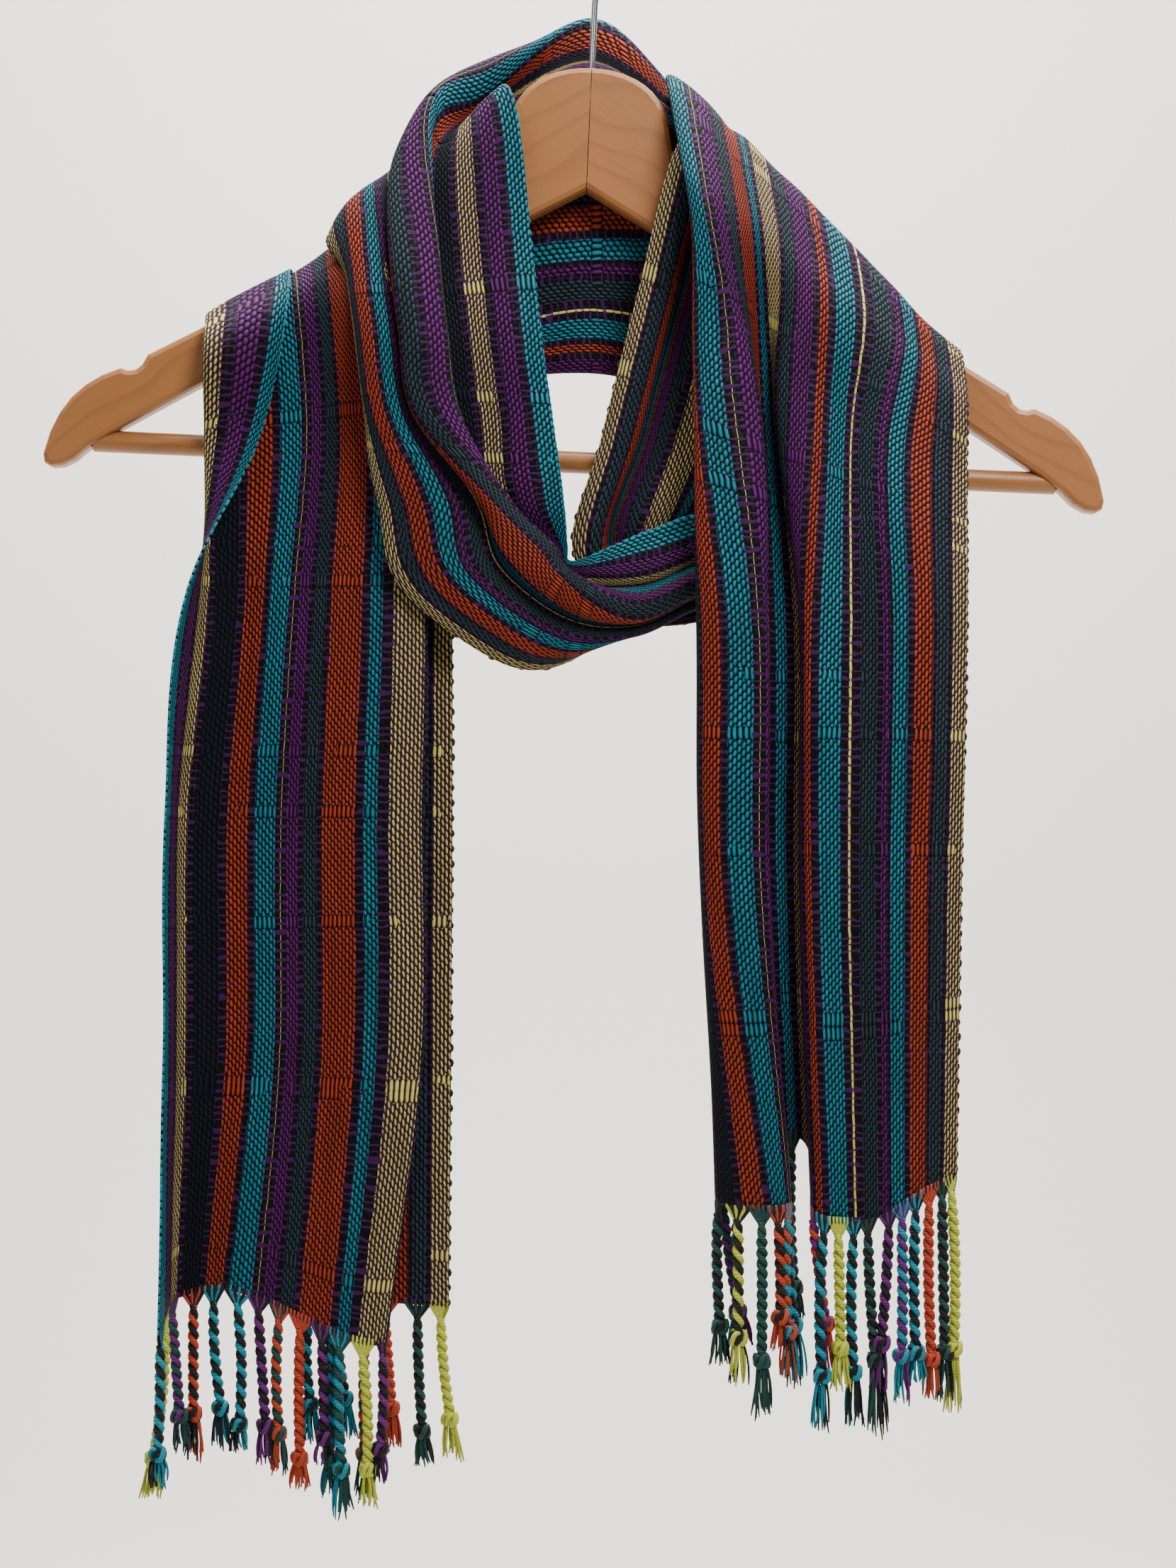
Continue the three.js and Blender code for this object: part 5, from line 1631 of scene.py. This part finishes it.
# ---- The hanger --------------------------------------------------------------------------------
@dataclass
class Hanger:
    """The wooden hanger: two mitred arms, a round cross-bar and a wire hook."""

    tilt: float = 2.56
    top: float = -82.0
    bar_axis: float = -247.3
    bar_half: float = 202.7
    bar_radius: float = 4.6
    wire: float = 1.35
    bend: float = 20.0
    shank_top: float = -54.0
    socket: float = 15.7
    entry_angle: float = -38.0
    sweep_angle: float = 230.0
    ease: float = 9.0
    ease_steps: int = 12
    bend_steps: int = 44
    tip_share: float = 0.75
    arm_slope: float = 29.5

    def build(self) -> list[bpy.types.Object]:
        """Dresses the two arms and builds the bar and the hook.

        Returns:
            The new pieces.
        """
        finishes = {
            "hanger_board_left": WoodFinish("wood_left", self.tilt - self.arm_slope, 0.37),
            "hanger_board_right": WoodFinish("wood_right", self.tilt + self.arm_slope, 0.11, 0.3),
        }
        for node, finish in finishes.items():
            self._dress(node, finish.material())
        return [self._bar(), self._hook()]

    @staticmethod
    def _dress(node: str, material: bpy.types.Material) -> None:
        """Gives a CAD node its finish."""
        piece = bpy.data.objects[frame_object(node)]
        if piece.material_slots:
            for slot in piece.material_slots:
                slot.material = material
        else:
            piece.data.materials.append(material)

    def _hang(self, x: float, y: float, z: float) -> Vector:
        """Turns a point of the straight hanger to the way it hangs, and gives it in metres."""
        turn = math.radians(self.tilt)
        return Vector((
            x * math.cos(turn) + z * math.sin(turn),
            y,
            -x * math.sin(turn) + z * math.cos(turn),
        )) * MM

    def _bar(self) -> bpy.types.Object:
        """Builds the round cross-bar, with softened ends."""
        bm = bmesh.new()
        bmesh.ops.create_cone(
            bm, cap_ends=True, segments=40, radius1=self.bar_radius * MM, radius2=self.bar_radius * MM,
            depth=2 * self.bar_half * MM,
        )
        rims = [edge for edge in bm.edges if abs(edge.verts[0].co.z - edge.verts[1].co.z) < 1e-9]
        bmesh.ops.bevel(
            bm, geom=rims, offset=0.8 * MM, segments=3, profile=0.5, affect="EDGES", material=-1,
        )
        for vert in bm.verts:
            vert.co = self._hang(vert.co.z / MM, vert.co.y / MM, self.bar_axis + vert.co.x / MM)
        bmesh.ops.recalc_face_normals(bm, faces=bm.faces)
        finish = WoodFinish("wood_bar", self.tilt, 0.7).material()
        piece = add_object("hanger_bar_wood", finish_mesh("bar", bm), [finish])
        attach(piece, "root")
        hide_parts("hanger_bar")
        return piece

    def _hook(self) -> bpy.types.Object:
        """Builds the wire hook: shank, bend and rounded tip."""
        radius = self.bend + self.wire
        entry = math.radians(self.entry_angle)
        start = Vector((radius * math.cos(entry), -self.bend + radius * math.sin(entry)))
        tangent = Vector((-math.sin(entry), math.cos(entry)))
        shoulder = Vector((0, self.shank_top))
        handles = (shoulder, shoulder + Vector((0, self.ease)), start - tangent * self.ease, start)
        flat = [Vector((0, y)) for y in (self.top - self.socket, self.top + 4, self.shank_top - 8)]
        for step in range(self.ease_steps + 1):
            t = step / self.ease_steps
            parts = ((1 - t) ** 3, 3 * t * (1 - t) ** 2, 3 * t**2 * (1 - t), t**3)
            flat.append(sum((handle * part for handle, part in zip(handles, parts)), Vector((0, 0))))
        for step in range(1, self.bend_steps + 1):
            angle = entry + math.radians(self.sweep_angle) * step / self.bend_steps
            flat.append(Vector((radius * math.cos(angle), -self.bend + radius * math.sin(angle))))
        path = [self._hang(point.x, 0, point.y) for point in flat]
        radii = [self.wire * MM] * (len(path) - 1) + [self.wire * self.tip_share * MM]
        bm = strand_mesh()
        add_tube(bm, path, radii, 20)
        piece = add_object("hanger_hook_wire", finish_mesh("hook", bm), [WireFinish().material()])
        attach(piece, "root")
        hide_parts("hanger_hook")
        return piece


def frame_object(node: str) -> str:
    """The name of the scene object that holds a CAD node."""
    for piece in bpy.data.objects:
        if piece.name == node or piece.name.split(".")[0] == node:
            return piece.name
    raise LookupError(f"no CAD object for {node}")


# ---- The studio --------------------------------------------------------------------------------
@dataclass
class Studio:
    """A pale sweep of floor and wall, soft lights and the camera."""

    eye: tuple[float, float, float] = (-5.3, -1100.0, -382.6)
    seen_height: float = 660.8
    floor: float = -1250.0
    wall: float = 2700.0
    half_width: float = 5000.0
    corner: float = 700.0
    front: float = -4000.0
    rise: float = 3500.0
    flat_rows: int = 6
    bend_rows: int = 12

    def build(self) -> None:
        """Builds the sweep, the lights and the camera."""
        self._sweep()
        middle = (0.0, 0.0, -330.0)
        self._light("key_light", (420, -760, 450), (30.0, 0.0, -190.0), 420, 13.5, (1.0, 0.98, 0.95))
        self._light("fill_light", (-1100, -1300, 200), middle, 900, 3.0, (0.93, 0.96, 1.0))
        self._light("top_light", (200, -300, 1100), middle, 800, 8.0, (1.0, 1.0, 1.0))
        self._light("back_light", (400, 1500, 300), middle, 1200, 3.0, (0.96, 0.98, 1.0))
        self._light("wall_light", (0, 500, 1500), (0.0, 2700.0, -600.0), 2000, 250.0, (1.0, 0.985, 0.955))
        self._air()
        self._camera()

    def _sweep(self) -> None:
        """Builds the floor that curves up into the wall."""
        bm = bmesh.new()
        bend_end = self.flat_rows + self.bend_rows
        rows = bend_end + self.flat_rows
        verts = bmesh.ops.create_grid(bm, x_segments=2, y_segments=rows, size=1.0)["verts"]
        for vert, (column, row) in zip(verts, grid_steps(verts, 2, rows)):
            x = (column - 1) * self.half_width
            if row < self.flat_rows:
                y = self.front + (self.wall - self.corner - self.front) * row / self.flat_rows
                z = self.floor
            elif row > bend_end:
                y = self.wall
                z = self.floor + self.corner + self.rise * (row - bend_end) / self.flat_rows
            else:
                angle = math.pi / 2 * (row - self.flat_rows) / self.bend_rows
                y = self.wall - self.corner + self.corner * math.sin(angle)
                z = self.floor + self.corner - self.corner * math.cos(angle)
            vert.co = Vector((x, y, z)) * MM
        finish = PlainFinish("pale_paper", (0.8, 0.768, 0.715, 1.0)).material()
        add_object("paper_sweep", finish_mesh("sweep", bm), [finish])

    @staticmethod
    def _light(
        name: str,
        place: tuple[float, float, float],
        target: tuple[float, float, float],
        size: float,
        power: float,
        colour: tuple[float, float, float],
    ) -> None:
        """Adds one soft square light.

        Args:
            name: the light's name.
            place: where it stands, in mm.
            target: the point that it faces, in mm.
            size: the length of its side, in mm.
            power: its power in watts.
            colour: its colour.
        """
        lamp = bpy.data.lights.new(name, "AREA")
        lamp.size = size * MM
        lamp.energy = power
        lamp.color = colour
        holder = bpy.data.objects.new(name, lamp)
        bpy.context.scene.collection.objects.link(holder)
        holder.location = Vector(place) * MM
        aim = Vector(target) - Vector(place)
        holder.rotation_mode = "QUATERNION"
        holder.rotation_quaternion = aim.to_track_quat("-Z", "Y")

    @staticmethod
    def _air() -> None:
        """Gives the surroundings a soft, even light."""
        world = bpy.data.worlds.new("soft_air")
        world.use_nodes = True
        sky = world.node_tree.nodes["Background"]
        sky.inputs["Color"].default_value = (0.9, 0.93, 0.97, 1.0)
        sky.inputs["Strength"].default_value = 0.2
        bpy.context.scene.world = world

    def _camera(self) -> None:
        """Sets the camera level with the middle of the scarf, looking straight at it."""
        lens = bpy.data.cameras.new("camera")
        lens.sensor_width = 36.0
        lens.lens = lens.sensor_width * -self.eye[1] / self.seen_height
        lens.clip_start, lens.clip_end = 0.01, 50.0
        holder = bpy.data.objects.new("camera", lens)
        bpy.context.scene.collection.objects.link(holder)
        holder.location = Vector(self.eye) * MM
        holder.rotation_euler = (math.pi / 2, 0.0, 0.0)
        bpy.context.scene.camera = holder


# ---- The whole model ---------------------------------------------------------------------------
@dataclass
class ScarfOnHanger:
    """The whole object: every stretch of the scarf, its edges and fringes, and the hanger."""

    stretches: tuple[Cloth, ...] = (
        Cloth("scarf_tail_left", "left hem", "left arm top", ("hanger_board_left",), held="hung"),
        Cloth(
            "scarf_neck_under", "left arm top", "right arm top",
            ("hanger_board_left", "hanger_board_right"),
        ),
        Cloth("scarf_strip_right", "right arm top", "turn back", ("hanger_board_right",)),
        Cloth("scarf_loop_front", "turn back", "left crest", ("scarf_tail_left_cloth",)),
        Cloth("scarf_neck_over", "left crest", "right crest", ("scarf_neck_under_cloth",)),
        Cloth("scarf_tail_right", "right crest", "right hem", ("scarf_strip_right_cloth",), held="hung"),
    )
    form: ScarfForm = field(default_factory=lambda: ScarfForm(ROUTE))

    def build(self) -> None:
        """Builds every piece in order and reports it."""
        weave = WovenFinish().material()
        for stretch in self.stretches:
            LOG.info("built %s", stretch.build(self.form, weave).name)
        yarns = {yarn: TwistFinish(yarn).material() for yarn in Yarn}
        edges = (
            Selvage(Side.TEAL, Yarn.TEAL),
            Selvage(Side.YELLOW, Yarn.PLUM, spacing=6.4, loop_reach=0.9),
        )
        for edge in edges:
            LOG.info("built %s", edge.build(self.form).name)
        fringes = (
            Fringe("fringe_left", "left hem", -1, FRINGE_LEFT, seed=5),
            Fringe("fringe_right", "right hem", 1, FRINGE_RIGHT, seed=8),
        )
        for fringe in fringes:
            LOG.info("built %s", fringe.build(self.form, yarns).name)
        for piece in Hanger().build():
            LOG.info("built %s", piece.name)


def main() -> None:
    """Builds the scarf on its hanger and the studio."""
    logging.basicConfig(level=logging.INFO, format="%(name)s: %(message)s")
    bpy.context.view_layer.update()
    ScarfOnHanger().build()
    Studio().build()
    bpy.context.view_layer.update()


if __name__ == "__main__":
    main()
